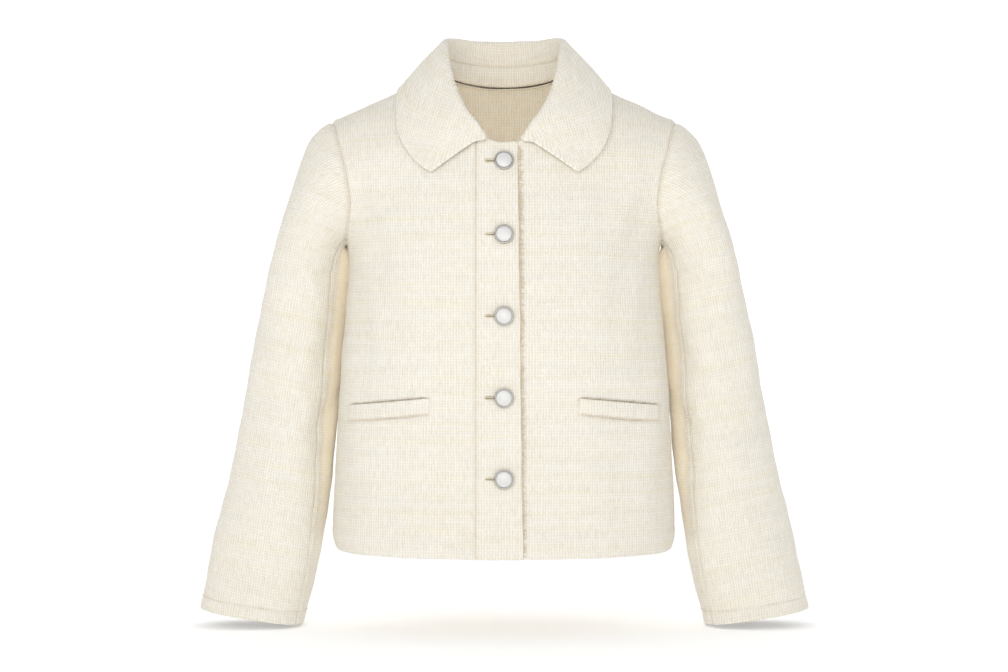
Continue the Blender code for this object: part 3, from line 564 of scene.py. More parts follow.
def leaf_middle(along, share):
    """The middle of the leaf's cloth: share runs from the stand over the roll to the outer edge."""
    base, outward, rise, roll, edge, bulge = collar_frame(along)
    share = share[..., None]
    seam = base + UP * rise * STAND_SHARE
    turn_starts = base + UP * (rise - roll)
    centre = turn_starts + outward * roll
    turn = np.clip((share - RISE_SHARE) / (ROLL_SHARE - RISE_SHARE), 0, 1) * math.pi
    rising = seam + (turn_starts - seam) * np.clip(share / RISE_SHARE, 0, 1)
    rolling = centre - outward * roll * np.cos(turn) + UP * roll * np.sin(turn)
    falls_from = centre + outward * roll
    t = np.clip((share - ROLL_SHARE) / (1 - ROLL_SHARE), 0, 1)
    fall = edge - falls_from
    swell = (outward + UP * FALL_UPWARD) * np.linalg.norm(fall, axis=-1, keepdims=True) * bulge
    falling = falls_from + fall * t + swell * 3 * t * (1 - t)
    falling = clear_of_body(falling, LEAF_CLEARANCE)
    return np.where(share <= RISE_SHARE, rising, np.where(share < ROLL_SHARE, rolling, falling))


def button_frame(z):
    """The place of a button: its origin on the band's shown face, its Z axis square to the cloth."""
    point = Vector(lifted_front(BUTTON_X, z, OVERLAP_LIFT))
    out = Vector(body_normal(on_body(BUTTON_X, z), FRONT))
    sideways = Vector((1, 0, 0))
    upwards = out.cross(sideways).normalized()
    return Matrix.Translation(point) @ Matrix((sideways, upwards, out)).transposed().to_4x4()


# ---- Shells of cloth ----


def clustered(count, crowding=0.6):
    """count + 1 shares from 0 to 1, closer together near both ends."""
    t = np.linspace(0, 1, count + 1)
    return t - crowding * np.sin(2 * math.pi * t) / (2 * math.pi)


def resampled(line, count):
    """count + 1 points along a line, closer together near both ends."""
    run = run_along(line)
    return sample(line, run, clustered(count) * run[-1])


def grid_normal(points):
    return unit(np.cross(np.gradient(points, axis=1), np.gradient(points, axis=0)))


def from_edge(points, edge):
    """How far each point of a grid is from one of its borders, along the cloth."""
    axis = 0 if edge in ("bottom", "top") else 1
    steps = np.linalg.norm(np.diff(points, axis=axis), axis=-1)
    run = np.cumsum(steps, axis=axis)
    zero = np.zeros_like(np.take(run, [0], axis=axis))
    run = np.concatenate([zero, run], axis=axis)
    return run if edge in ("bottom", "left") else np.take(run, [-1], axis=axis) - run


def seam_dips(points, edges):
    """How far the cloth sinks beside its seams, and swells just past them."""
    dip = np.zeros(points.shape[:2])
    for edge in edges:
        away = from_edge(points, edge)
        dip += SEAM_DIP * bell(away, SEAM_WIDTH)
        dip -= SEAM_DIP * SEAM_SWELL * bell(away - 3 * SEAM_WIDTH, 1.6 * SEAM_WIDTH)
    return dip


def stitch_trough(away, at, depth=0.0006, width=0.0016):
    """A row of stitches pulls the cloth in along a line that far from an edge."""
    return depth * bell(away - at, width)


def hem_trough(form):
    return stitch_trough(from_edge(form, "bottom"), HEM_STITCH, HEM_STITCH_DEPTH)


def crease_depth(places, table, scale):
    """The depth of all creases at each place. scale turns places into metres."""
    depth = np.zeros(places.shape[:-1])
    for crease in table:
        start, end = np.array(crease.start) * scale, np.array(crease.end) * scale
        run = end - start
        t = np.sum((places * scale - start) * run, axis=-1) / np.sum(run * run)
        nearest = start + np.clip(t, 0, 1)[..., None] * run
        away = np.linalg.norm(places * scale - nearest, axis=-1)
        along = np.clip(t, 0, 1)
        taper = 0.25 + 0.75 * np.sin(math.pi * along) ** 0.8
        depth += crease.depth * taper * bell(away, crease.width * (0.6 + 0.6 * taper))
    return depth


def undulation(u, v, seed, size=0.0005):
    """Slow unevenness of the cloth, in metres."""
    random = np.random.RandomState(seed)
    total = np.zeros(np.broadcast(u, v).shape)
    for wavelength in (0.11, 0.063, 0.038):
        for _ in range(2):
            turn, phase = random.uniform(0, math.pi), random.uniform(0, 2 * math.pi)
            total += np.sin(2 * math.pi * (u * math.cos(turn) + v * math.sin(turn)) / wavelength + phase)
    return total * size / 3


def placed(name, data):
    """A new object in the scene."""
    made = bpy.data.objects.new(name, data)
    bpy.context.scene.collection.objects.link(made)
    return made


def new_object(name, mesh, material, replaced=()):
    """An object that rides on the jacket, with its material; the CAD parts it replaces are hidden."""
    mesh.materials.append(material)
    made = placed(name, mesh)
    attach(made, "root")
    if replaced:
        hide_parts(*replaced)
    return made


def mesh_of(name, points, faces, uvs=None):
    mesh = bpy.data.meshes.new(name)
    mesh.from_pydata(points.tolist(), [], faces)
    if uvs is not None:
        layer = mesh.uv_layers.new(name="weave")
        corners = np.empty(len(mesh.loops), dtype=np.int32)
        mesh.loops.foreach_get("vertex_index", corners)
        layer.data.foreach_set("uv", np.asarray(uvs, dtype=np.float32)[corners].ravel())
    mesh.shade_smooth()
    return mesh


def add_attribute(mesh, name, values):
    layer = mesh.attributes.new(name, "FLOAT", "POINT")
    layer.data.foreach_set("value", values.astype(np.float32))


def shell_mesh(name, shown, normal, uv, wall, painted_shade, bulge=0.5):
    """A wall of cloth behind a grid of points, its borders rounded over. The shade given with it darkens the
    material from 0 to 1: painted shade in its grooves. bulge: how far the borders stand out, as a share of
    the wall."""
    rows, columns = shown.shape[:2]
    count = rows * columns
    hidden = shown - normal * wall
    index = np.arange(count).reshape(rows, columns)
    border = np.concatenate([index[0, :], index[1:, -1], index[-1, -2::-1], index[-2:0:-1, 0]])
    row, column = border // columns, border % columns
    inner_row = np.clip(row, 1, rows - 2)
    inner_column = np.clip(column, 1, columns - 2)
    out = unit(shown[row, column] - shown[inner_row, inner_column])
    middle = (shown[row, column] + hidden[row, column]) / 2
    rings = [middle + normal[row, column] * wall / 2 * math.cos(a) + out * wall * bulge * math.sin(a)
             for a in (math.pi / 4, math.pi / 2, 3 * math.pi / 4)]
    points = np.concatenate([shown.reshape(-1, 3), hidden.reshape(-1, 3)] + rings)
    flat_uv = uv.reshape(-1, 2)
    uvs = np.concatenate([flat_uv, flat_uv] + [flat_uv[border]] * 3)
    a, b = index[:-1, :-1].ravel(), index[:-1, 1:].ravel()
    c, d = index[1:, 1:].ravel(), index[1:, :-1].ravel()
    faces = np.concatenate([np.stack([a, b, c, d], 1), np.stack([d, c, b, a], 1) + count])
    loops = [border] + [2 * count + k * len(border) + np.arange(len(border)) for k in range(3)]
    loops.append(border + count)
    for first, second in zip(loops, loops[1:]):
        onward, second_onward = np.roll(first, -1), np.roll(second, -1)
        faces = np.concatenate([faces, np.stack([onward, first, second, second_onward], 1)])
    mesh = mesh_of(name, points, faces.tolist(), uvs)
    flat = painted_shade.ravel()
    add_attribute(mesh, "painted_shade", np.concatenate([flat, flat] + [flat[border]] * 3))
    return mesh


def painted_shade_of(dips):
    """How dark the painted shade is in the pressed-in places: a seam about half, a slit fully."""
    return np.clip(dips / SLIT_DEPTH, 0, 1) ** 2


# ---- Straight grain of the body ----


def ring_share():
    """Arc length round a quarter of the body's section against `across`, for a half width of 1."""
    across = np.linspace(0, 1, 400)
    sine, cosine = np.sin(across * math.pi / 2), np.cos(across * math.pi / 2)
    reach = (sine**SQUARENESS + cosine**SQUARENESS) ** (-1 / SQUARENESS)
    line = np.stack([reach * sine, SECTION_DEPTH * reach * cosine], axis=1)
    return across, run_along(line)


RING_ACROSS, RING_RUN = ring_share()


def body_grain(spot, x):
    """(u, v) of the body's weave, in metres: the weft runs level."""
    across, down = spot[..., 0], spot[..., 1]
    drop = drop_of(down)
    run = np.interp(np.abs(across), RING_ACROSS, RING_RUN) * smooth(LEVELS, "half_width", drop)
    v = shoulder_height(x) * slope_left(drop) - down
    return np.stack([np.sign(across) * run, v], axis=-1)


# ---- Front panels and back ----


def evened(grid, share, passes):
    """A patch with the spacing of its rows and columns evened out, in turns, its border kept."""
    sides = np.linalg.norm(np.diff(grid[:, [0, -1]], axis=0), axis=-1).mean(axis=1)
    row_weight, column_weight = (1 / sides)[:, None, None], (1 / np.diff(share))[None, :, None]
    for number in range(passes):
        if number % 2 == 0:
            flow = np.diff(grid, axis=0) * row_weight
            move = np.diff(flow, axis=0)[:, 1:-1] / (row_weight[1:] + row_weight[:-1])
        else:
            flow = np.diff(grid, axis=1) * column_weight
            move = np.diff(flow, axis=1)[1:-1] / (column_weight[:, 1:] + column_weight[:, :-1])
        grid = grid.copy()
        grid[1:-1, 1:-1] += 0.9 * move
    return grid


def mirrored(side, points, normals, uv):
    """A grid made for the wearer's left, moved to a side."""
    return points * np.array([side, 1, 1]), normals * np.array([side, 1, 1]), uv * np.array([side, 1])


def turned_over(*grids):
    """Grids with their columns the other way round, so that their faces look the other way."""
    return [grid[:, ::-1] for grid in grids]


def body_shell(name, grid, face, table, seams, side=1, lifted=False):
    """A panel of the body from its (across, down) grid, creased and pressed along its seams. lifted: it
    stands out towards the band, over the other front."""
    form, out = body_point(grid, face), body_normal(grid, face)
    uv = body_grain(grid, form[..., 0])
    if lifted:
        form = form + out * overlap_lift(-form[..., 0])[..., None]
    places = np.stack([np.abs(form[..., 0]), form[..., 2]], axis=-1)
    dips = seam_dips(form, seams) + hem_trough(form)
    if face == FRONT:
        dips = dips + pocket_dip(form)
    stretch, seed = UNEVENNESS[side]
    depth = crease_depth(places, table, 1.0) + dips
    depth = depth + undulation(form[..., 0] * stretch, form[..., 2], seed)
    shown, out, uv = mirrored(side, form - out * depth[..., None], out, uv)
    if side * face > 0:
        shown, out, uv, dips = turned_over(shown, out, uv, dips)
    return shell_mesh(name, shown, out, uv, WALL, painted_shade_of(dips))


def welt_place(u, v):
    """(x, z) on the wearer's left front for a share along the welt and a share down it."""
    x = WELT_INNER[0] + WELT_RUN * u
    z = WELT_INNER[1] + (WELT_OUTER[1] - WELT_INNER[1]) * u - WELT_HEIGHT * v
    return x, z


def pocket_dip(form):
    """The front sinks along the pocket's slit, above the welt's top edge."""
    x, z = form[..., 0], form[..., 2]
    share = (x - WELT_INNER[0]) / WELT_RUN
    _, edge = welt_place(share, 0.0)
    ends = ease((share + 0.03) / 0.10) * ease((1.03 - share) / 0.10)
    slit = SLIT_DEPTH * 1.1 * bell(z - edge - 0.0002, 0.0013)
    u_away = np.maximum(np.abs(share - 0.5) - 0.5, 0.0) * WELT_RUN
    v_away = np.maximum(np.abs(edge - WELT_HEIGHT / 2 - z) - WELT_HEIGHT / 2, 0.0)
    around = 0.0013 * np.exp(-((u_away**2 + v_away**2) / 0.0030**2))
    return ends * slit + around


def side_edge(face):
    """(across, down) up the side seam and round the armhole."""
    down = np.linspace(hem_down(1.0), down_of(UNDERARM_DROP), BODY_ROWS + 1)[:-1]
    seam = np.stack([np.ones_like(down), down], axis=-1)
    return np.concatenate([seam, resampled(armhole(np.linspace(1, 0, 90), face), ARMHOLE_ROWS)])


def hem_edge(across):
    return np.stack([across, hem_down(across)], axis=-1)


def shoulder_edge(x):
    return np.stack([across_at(x, 0.0), np.zeros_like(x)], axis=-1)


def front_shell(name, side, inner_x, lifted):
    """A front, worked out on the wearer's left from its inner edge at inner_x to the side seam."""
    neck_x = NECK_HALF + NECK_EDGE_PULL
    underarm_z = float(body_point(side_edge(FRONT)[BODY_ROWS], FRONT)[2])
    neck_z = float(neck_z_at(max(inner_x, 0.0))) - NECK_EDGE_PULL
    heights = np.concatenate([np.linspace(-HEM_DROP, underarm_z, BODY_ROWS + 1)[:-1],
                              np.linspace(underarm_z, neck_z, CHEST_ROWS + 1)[:-1]])
    neck_turn = math.acos(inner_x / neck_x) / (math.pi / 2)
    neck = neckline(np.linspace(neck_turn, 0.0, 90), FRONT, NECK_EDGE_PULL)
    inner = np.concatenate([on_body(inner_x, heights), evenly(neck, ARMHOLE_ROWS - CHEST_ROWS)])
    share = clustered(FRONT_COLUMNS)
    hem = hem_edge(inner[0, 0] + (1 - inner[0, 0]) * share)
    shoulder = shoulder_edge(neck_x + (SHOULDER_POINT_X - neck_x) * share)
    grid = patch(inner, side_edge(FRONT), hem, shoulder, share)
    seams = ("right", "top", "left") if lifted else ("right", "top")
    grid = evened(grid, share, 0 if lifted else 12)
    return body_shell(name, grid, FRONT, FRONT_CREASES, seams, side, lifted)


def back_shell(name):
    left_side = side_edge(BACK)
    share = clustered(BACK_COLUMNS)
    shoulder_count = BACK_COLUMNS // 2 * 5 // 8
    reach = NECK_HALF + NECK_EDGE_PULL - SHOULDER_POINT_X
    shoulder = shoulder_edge(SHOULDER_POINT_X + reach * clustered(shoulder_count))
    neck = neckline(np.linspace(0, 1, BACK_COLUMNS // 2 - shoulder_count + 1), BACK, NECK_EDGE_PULL)
    half = np.concatenate([shoulder, neck[1:]])
    top = np.concatenate([half * np.array([-1, 1]), half[-2::-1]])
    grid = patch(left_side * np.array([-1, 1]), left_side, hem_edge(2 * share - 1), top, share)
    return body_shell(name, evened(grid, share, 6), BACK, BACK_CREASES, ("left", "right", "top"))


# ---- Sleeves ----


def sleeve_grid(first_degree, last_degree, columns):
    angles = first_degree + (last_degree - first_degree) * clustered(columns, 0.5)
    rows = np.concatenate([np.linspace(0, 1, CAP_ROWS + 1) ** 1.2, 1 + clustered(SLEEVE_ROWS, 0.3)[1:]])
    turn, along = np.meshgrid(angles, rows)
    angle = turn % 360
    form = sleeve_point(angle, along)
    out = sleeve_normal(angle, along)
    out[0] = armhole_ring(angle[0])[1]
    return turn, along, form, out


def sleeve_shell(name, side, first_degree, last_degree, columns):
    turn, along, form, out = sleeve_grid(first_degree, last_degree, columns)
    around = from_edge(form, "left")
    around = around - around[:, [columns // 2]]
    lengthways = from_edge(form, "bottom")
    uv = np.stack([around, lengthways[[CAP_ROWS]] - lengthways], axis=-1)
    depth = crease_depth(np.stack([turn % 360, along], axis=-1), SLEEVE_CREASES, SLEEVE_SCALE)
    depth = depth * ease(along / 0.35) * ease((2.0 - along) / 0.10)
    dips = (seam_dips(form, ("left", "right")) * 0.5 + seam_dips(form, ("bottom",)) * 0.8
            + stitch_trough(from_edge(form, "top"), CUFF_STITCH))
    depth += dips
    depth -= 0.0011 * bell(lengthways - 0.009, 0.0085)  # the cap stands up beside its seam
    depth += undulation(turn * SLEEVE_SCALE[0] + side, lengthways, 23, 0.0007)
    # Painted light: a warm emission where the under sleeve faces the body
    glow = rise_then_fall(turn, *PAINTED_LIGHT_ROUND) * rise_then_fall(along, *PAINTED_LIGHT_ALONG)
    shown, out, uv = mirrored(side, form - out * depth[..., None], out, uv)
    if side < 0:
        shown, out, uv, dips, glow = turned_over(shown, out, uv, dips, glow)
    mesh = shell_mesh(name, shown, out, uv, WALL, painted_shade_of(dips))
    unseen = np.zeros(len(mesh.vertices) - glow.size)
    add_attribute(mesh, "glow", np.concatenate([glow.ravel(), unseen]))
    return mesh


def cuff_stitch_line(side, first_degree, last_degree):
    """(points, outward directions) along the cuff's row of stitches."""
    _, _, form, out = sleeve_grid(first_degree, last_degree, 120)
    away = from_edge(form, "top")
    points, normals = [], []
    for column in range(form.shape[1]):
        row = np.argmin(np.abs(away[:, column] - CUFF_STITCH))
        above, below = away[row - 1, column], away[row, column]
        share = np.clip((above - CUFF_STITCH) / max(above - below, 1e-9), 0, 1)
        points.append(form[row - 1, column] * (1 - share) + form[row, column] * share)
        normals.append(out[row, column])
    mirror = np.array([side, 1, 1])
    return np.array(points) * mirror, np.array(normals) * mirror


# ---- Collar ----


def rounded_point(along, share):
    """Places round the collar with its two points rounded over."""
    a = (2 - np.abs(along)) * END_METRES
    b = (1 - share) * FALL_METRES
    inside = (a < POINT_RADIUS) & (b < POINT_RADIUS)
    p, q = 1 - a / POINT_RADIUS, 1 - b / POINT_RADIUS
    p, q = np.clip(p, 0, 1), np.clip(q, 0, 1)
    new_a = POINT_RADIUS * (1 - p * np.sqrt(1 - q * q / 2))
    new_b = POINT_RADIUS * (1 - q * np.sqrt(1 - p * p / 2))
    new_along = np.sign(along) * (2 - new_a / END_METRES)
    return np.where(inside, new_along, along), np.where(inside, 1 - new_b / FALL_METRES, share)


def collar_grain(along, middle):
    """(u, v) of the collar's weave, straight at the centre back and turning with the neckline in front."""
    base = neck_point(along[0])
    steps = np.diff(base, axis=0)
    flat = np.concatenate([[0.0], np.cumsum(np.hypot(steps[:, 0], steps[:, 1]))])
    flat -= flat[len(flat) // 2]
    tangent = np.gradient(base, axis=0)
    window = np.hanning(2 * GRAIN_REACH + 1)
    window = window / window.sum()
    padded = np.pad(unit(tangent), ((GRAIN_REACH, GRAIN_REACH), (0, 0)), mode="edge")
    tangent = unit(np.stack([np.convolve(padded[:, k], window, mode="valid") for k in range(3)], axis=1))
    sine, cosine = tangent[:, 2], np.hypot(tangent[:, 0], tangent[:, 1])
    length = from_edge(middle, "bottom")
    return np.stack([flat + length * sine, base[:, 2] - length * cosine], axis=-1)


def relaxed(points, passes, share):
    """A grid drawn smooth along and across. Its ends stay, its outer edge is smoothed along itself, and its
    rise from the stand is left straight."""
    held = points.copy()
    loose = (ease((share - RISE_SHARE * 0.5) / (RISE_SHARE * 0.5)) * (share < 1))[..., None]
    for _ in range(passes):
        near = points.copy()
        near[1:-1] = (points[:-2] + 2 * points[1:-1] + points[2:]) / 4
        near[:, 1:-1] = (near[:, :-2] + 2 * near[:, 1:-1] + near[:, 2:]) / 4
        near[:, [0, -1]] = points[:, [0, -1]]
        points = held + (near - held) * loose
    edge = points[-1]
    for _ in range(passes):
        edge[1:-1] = (edge[:-2] + 2 * edge[1:-1] + edge[2:]) / 4
    return points


def collar_shells():
    along = 2 * (2 * clustered(COLLAR_COLUMNS, 0.4) - 1)
    falling = 1 - (1 - np.linspace(0, 1, FALL_ROWS + 1)) ** 1.3
    shares = np.concatenate([np.linspace(0, RISE_SHARE, RISE_ROWS + 1)[:-1],
                             np.linspace(RISE_SHARE, ROLL_SHARE, ROLL_ROWS + 1)[:-1],
                             ROLL_SHARE + (1 - ROLL_SHARE) * falling])
    along_grid, share_grid = np.meshgrid(along, shares)
    round_along, round_share = rounded_point(along_grid, share_grid)
    middle = relaxed(leaf_middle(round_along, round_share), 24, share_grid)
    end = ease((np.abs(along_grid) - 1.84) / 0.16) * ease(share_grid / RISE_SHARE)
    middle[..., 2] -= END_DROP * end * (1 - ease((share_grid - ROLL_SHARE) / 0.15))
    out = grid_normal(middle)
    uv = collar_grain(along_grid, middle)
    dips = seam_dips(middle, ("bottom",))
    places = np.stack([along_grid, share_grid], axis=-1)
    depth = dips + crease_depth(places, COLLAR_CREASES, COLLAR_SCALE)
    depth += undulation(uv[..., 0], uv[..., 1], 31, 0.0006) * ease(share_grid / 0.4)
    shown = middle + out * (COLLAR_WALL / 2 - depth[..., None])
    leaf = shell_mesh("collar_leaf", shown, out, uv, COLLAR_WALL, painted_shade_of(dips), 0.6)
    base, _, rise, *_ = collar_frame(along)
    heights = np.linspace(0, 1, STAND_ROWS)[:, None, None]
    stand = base + UP * (STAND_BASE_GAP + (rise * STAND_SHARE - STAND_BASE_GAP) * heights)
    out = grid_normal(stand)
    flat = collar_grain(np.broadcast_to(along, stand.shape[:2]), stand)
    flat[..., 1] = base[:, 2] + from_edge(stand, "bottom")
    dips = seam_dips(stand, ("top", "bottom")) * 0.7
    stand = stand - out * dips[..., None]
    return leaf, shell_mesh("collar_stand", stand + out * WALL / 2, out, flat, WALL, painted_shade_of(dips))


# ---- Band, welts and fringe ----


def band_shell():
    rows = np.linspace(0, 1, BAND_ROWS + 1)[:, None]
    columns = clustered(BAND_COLUMNS, 0.7)[None]
    ripple = 0.00035 * np.sin(rows * 41) * np.sin(rows * 17 + 1)
    edge = band_edge_x(-HEM_DROP * (1 - rows)) + ripple
    x = BAND_SEAM_X + (edge - BAND_SEAM_X) * columns
    past = np.maximum(x - (edge - BAND_CORNER), 0.0)
    top = neck_z_at(x) - (BAND_CORNER - np.sqrt(BAND_CORNER**2 - np.minimum(past, BAND_CORNER) ** 2))
    z = -HEM_DROP + (top + HEM_DROP) * rows
    form = lifted_front(x, z, OVERLAP_LIFT)
    out = grid_normal(form)
    dip = seam_dips(form, ("left",)) + hem_trough(form)
    for z_button in BUTTON_HEIGHTS:
        away = np.hypot(x - BUTTON_X, z - z_button)
        dip = dip + 0.0007 * bell(away, 0.012)  # each button presses the band in
    shown = form - out * (dip + undulation(x, z, 41, 0.0004))[..., None]
    return shell_mesh("front_band", shown, out, np.stack([x, z], axis=-1), WALL, painted_shade_of(dip), 0.55)


def circle(x, z, radius, first, last, count, endpoint=True):
    """(x, z) points round a circle, from one angle to another."""
    return [(x + radius * math.cos(a), z + radius * math.sin(a))
            for a in np.linspace(first, last, count, endpoint=endpoint)]


def keyhole_outline(z, radius=0.0015, slot=0.0004, length=0.00975):
    """A buttonhole's outline as (x, z): a round eye beneath the button's rim, and a slot out from it."""
    eye = BUTTON_X + KEYHOLE_AT
    angle = math.asin(slot / radius)
    far = eye - length
    return (circle(eye, z, radius, math.pi - angle, -math.pi + angle, 30)
            + [(far, z - slot), (far - slot, z), (far, z + slot)])


def shank_outline(z, radius=0.0017):
    return circle(BUTTON_X, z, radius, 0, 2 * math.pi, 14, endpoint=False)


def cut_buttonholes(band):
    """Cuts every buttonhole, and the hole for each shank, right through the band."""
    shape = bmesh.new()
    for z in BUTTON_HEIGHTS:
        out = button_frame(z).to_3x3() @ Vector((0, 0, 1))
        for outline in (keyhole_outline(z), shank_outline(z)):
            under, over = ([shape.verts.new(Vector(lifted_front(x, height, OVERLAP_LIFT)) + out * step)
                            for x, height in outline] for step in (-2.2 * WALL, 1.2 * WALL))
            shape.faces.new(under)
            shape.faces.new(over[::-1])
            for a, b, c, d in zip(under, under[1:] + under[:1], over[1:] + over[:1], over):
                shape.faces.new((b, a, d, c))
    bmesh.ops.recalc_face_normals(shape, faces=shape.faces)
    mesh = bpy.data.meshes.new("buttonhole_cutters")
    shape.to_mesh(mesh)
    shape.free()
    cutter = placed("buttonhole_cutters", mesh)
    cut = band.modifiers.new("buttonholes", "BOOLEAN")
    cut.operation, cut.object, cut.solver = "DIFFERENCE", cutter, "EXACT"
    apply_modifiers(band)
    bpy.data.objects.remove(cutter)


def apply_modifiers(thing):
    graph = bpy.context.evaluated_depsgraph_get()
    made = bpy.data.meshes.new_from_object(thing.evaluated_get(graph), preserve_all_data_layers=True,
                                           depsgraph=graph)
    thing.modifiers.clear()
    old, thing.data = thing.data, made
    bpy.data.meshes.remove(old)
    made.name = thing.name


def welt_shell(name, side):
    u, v = np.meshgrid(clustered(WELT_COLUMNS, 0.6), clustered(WELT_ROWS, 0.7)[::-1])
    x, z = welt_place(u, v)
    form = lifted_front(x, z, WELT_GAP + WALL)
    out = grid_normal(form)
    pressed = 0.0022  # width of its pressed edges
    depth = 0.0013 * (bell((1 - v) * WELT_HEIGHT, pressed) + bell(u * WELT_RUN, pressed)
                      + bell((1 - u) * WELT_RUN, pressed))
    depth -= 0.0010 * np.sin(math.pi * v) * np.sin(math.pi * u) ** 0.5
    # Painted shade along the welt's lower edge
    dark = 0.45 * bell((1 - v) * WELT_HEIGHT, 0.0016)
    uv = np.stack([x, z - 0.0035 * u], axis=-1)
    shown, out, uv = mirrored(side, form - out * depth[..., None], out, uv)
    if side < 0:
        shown, out, uv, dark = turned_over(shown, out, uv, dark)
    return shell_mesh(name, shown, out, uv, WALL - 0.0006, dark, 0.6)


def tube(path, radii, sides=5):
    """(points, faces) of a thread along a path, closed at both ends."""
    path = np.asarray(path)
    run = unit(np.gradient(path, axis=0))
    side = unit(np.cross(run, np.array([0.31, 0.47, 0.83])))
    other = np.cross(run, side)
    turn = np.arange(sides) * 2 * math.pi / sides
    rings = (path[:, None] + np.asarray(radii)[:, None, None]
             * (side[:, None] * np.cos(turn)[None, :, None] + other[:, None] * np.sin(turn)[None, :, None]))
    points = rings.reshape(-1, 3)
    faces = []
    for r in range(len(path) - 1):
        for s in range(sides):
            a, b = r * sides + s, r * sides + (s + 1) % sides
            faces.append((a, b, b + sides, a + sides))
    faces.append(tuple(range(sides))[::-1])
    faces.append(tuple((len(path) - 1) * sides + s for s in range(sides)))
    return points, faces


def threads_mesh(name, threads):
    """All threads, each given as (path, radii), in one mesh."""
    points, faces, count = [], [], 0
    for path, radii in threads:
        more, sides = tube(path, radii)
        points.append(more)
        faces += [tuple(i + count for i in face) for face in sides]
        count += len(more)
    return mesh_of(name, np.concatenate(points), faces, np.concatenate(points)[:, [0, 2]])


def stitch_row(points, normals, length=0.0036, gap=0.0016, radius=0.0004, sunk=0.0002):
    """A running stitch along a line of points on the cloth."""
    run = run_along(points)
    lift = radius * np.array([-1.4, 0.3, 0.6, 0.3, -1.4]) - sunk
    threads = []
    for start in np.arange(0.001, run[-1] - length, length + gap):
        at = start + length * np.linspace(0, 1, 5)
        path = sample(points, run, at) + sample(normals, run, at) * lift[:, None]
        threads.append((path, radius * np.array([0.7, 1, 1, 1, 0.7])))
    return threads


def fringe_threads(random):
    """Short frayed yarns standing out from under the band's edge."""
    tucked = 0.0012  # how far each starts under the band
    share = np.linspace(0, 1, 6)
    threads = []
    z = float(neck_z_at(BAND_EDGE_TOP_X)) - BAND_CORNER - 0.001
    while z > -HEM_DROP + 0.002:
        reach = FRINGE_REACH * random.uniform(0.45, 1.25)
        droop, swing = random.uniform(-0.0022, 0.0012), random.uniform(-0.0008, 0.0008)
        xs = band_edge_x(z) - tucked + (reach + tucked) * share
        zs = z + droop * share**1.6 + swing * np.sin(share * 5)
        lift = OVERLAP_LIFT - WALL * 0.75 + random.uniform(-0.0003, 0.0006)
        lift = lift + random.uniform(-0.0006, 0.0009) * share
        radius = random.uniform(0.00022, 0.00042)
        threads.append((lifted_front(xs, zs, lift), radius * np.array([1.0, 1.05, 0.95, 1.0, 0.8, 0.45])))
        z -= random.uniform(0.00050, 0.00150)
    return threads


def purl_threads(z):
    """Buttonhole stitches, each over the edge of the keyhole."""
    outline = np.array(keyhole_outline(z))
    closed = np.concatenate([outline, outline[:1]])
    run = run_along(closed)
    away = np.array([-0.0002, 0.0001, 0.0008, 0.0015, 0.0017])
    lift = OVERLAP_LIFT + np.array([-0.0006, 0.00025, 0.0004, 0.0002, -0.0004])
    threads = []
    for at in np.arange(0, run[-1], 0.00062):
        spot, ahead = sample(closed, run, [at, (at + 3e-4) % run[-1]])
        onward = (ahead - spot) / max(np.linalg.norm(ahead - spot), 1e-9)
        xz = spot + np.array([-onward[1], onward[0]]) * away[:, None]
        threads.append((lifted_front(xz[:, 0], xz[:, 1], lift), np.full(5, 0.00030)))
    return threads


# ---- Buttons ----


def turned_mesh(name, profile, place, sides=72):
    """A solid turned round its Z axis from a closed profile that starts and ends on the axis."""
    profile = np.array(profile)
    turn = np.arange(sides) * 2 * math.pi / sides
    ring = np.stack([np.cos(turn), np.sin(turn)], axis=1)
    body = [np.concatenate([radius * ring, np.full((sides, 1), height)], axis=1)
            for radius, height in profile[1:-1]]
    points = np.concatenate([[[0, 0, profile[0][1]]], *body, [[0, 0, profile[-1][1]]]])
    faces = []
    for s in range(sides):
        following = (s + 1) % sides
        faces.append((0, 1 + following, 1 + s))
        for r in range(len(body) - 1):
            a, b = 1 + r * sides, 1 + (r + 1) * sides
            faces.append((a + s, a + following, b + following, b + s))
        last = 1 + (len(body) - 1) * sides
        faces.append((last + s, last + following, len(points) - 1))
    uv = points[:, :2]
    points = np.array([tuple(place @ Vector(point)) for point in points])
    mesh = mesh_of(name, points, faces, uv)
    mesh.set_sharp_from_angle(angle=math.radians(50))
    return mesh


def arc(middle, radius, first, last, count):
    """(radius, height) points of an arc in a turned profile, angles in degrees."""
    return [(middle[0] + radius * math.cos(math.radians(a)), middle[1] + radius * math.sin(math.radians(a)))
            for a in np.linspace(first, last, count)]


def button_profiles():
    rim = BUTTON_RADIUS
    shank_end = -OVERLAP_LIFT + 0.0003
    cup = [(0, shank_end), (SHANK, shank_end), (SHANK, 0.0003), (rim - 0.0016, 0.0003)]
    cup += arc((rim - 0.0012, 0.0015), 0.0012, -90, 0, 6)
    cup += arc((rim - 0.0009, 0.0026), 0.0009, 0, 165, 12)
    cup += [(rim - 0.0018, 0.0022), (rim - 0.0018, 0.0018), (0, 0.0018)]
    seat = rim - 0.0020
    cap = [(0, 0.0021), (seat - 0.0002, 0.0021), (seat, 0.0023), (seat, 0.0028)]
    cap += [(seat * math.cos(a), 0.0028 + 0.0018 * math.sin(a))
            for a in np.linspace(0.12, math.pi / 2, 14)[:-1]]
    cap += [(0, 0.0046)]
    return cup, cap


# ---- Materials ----


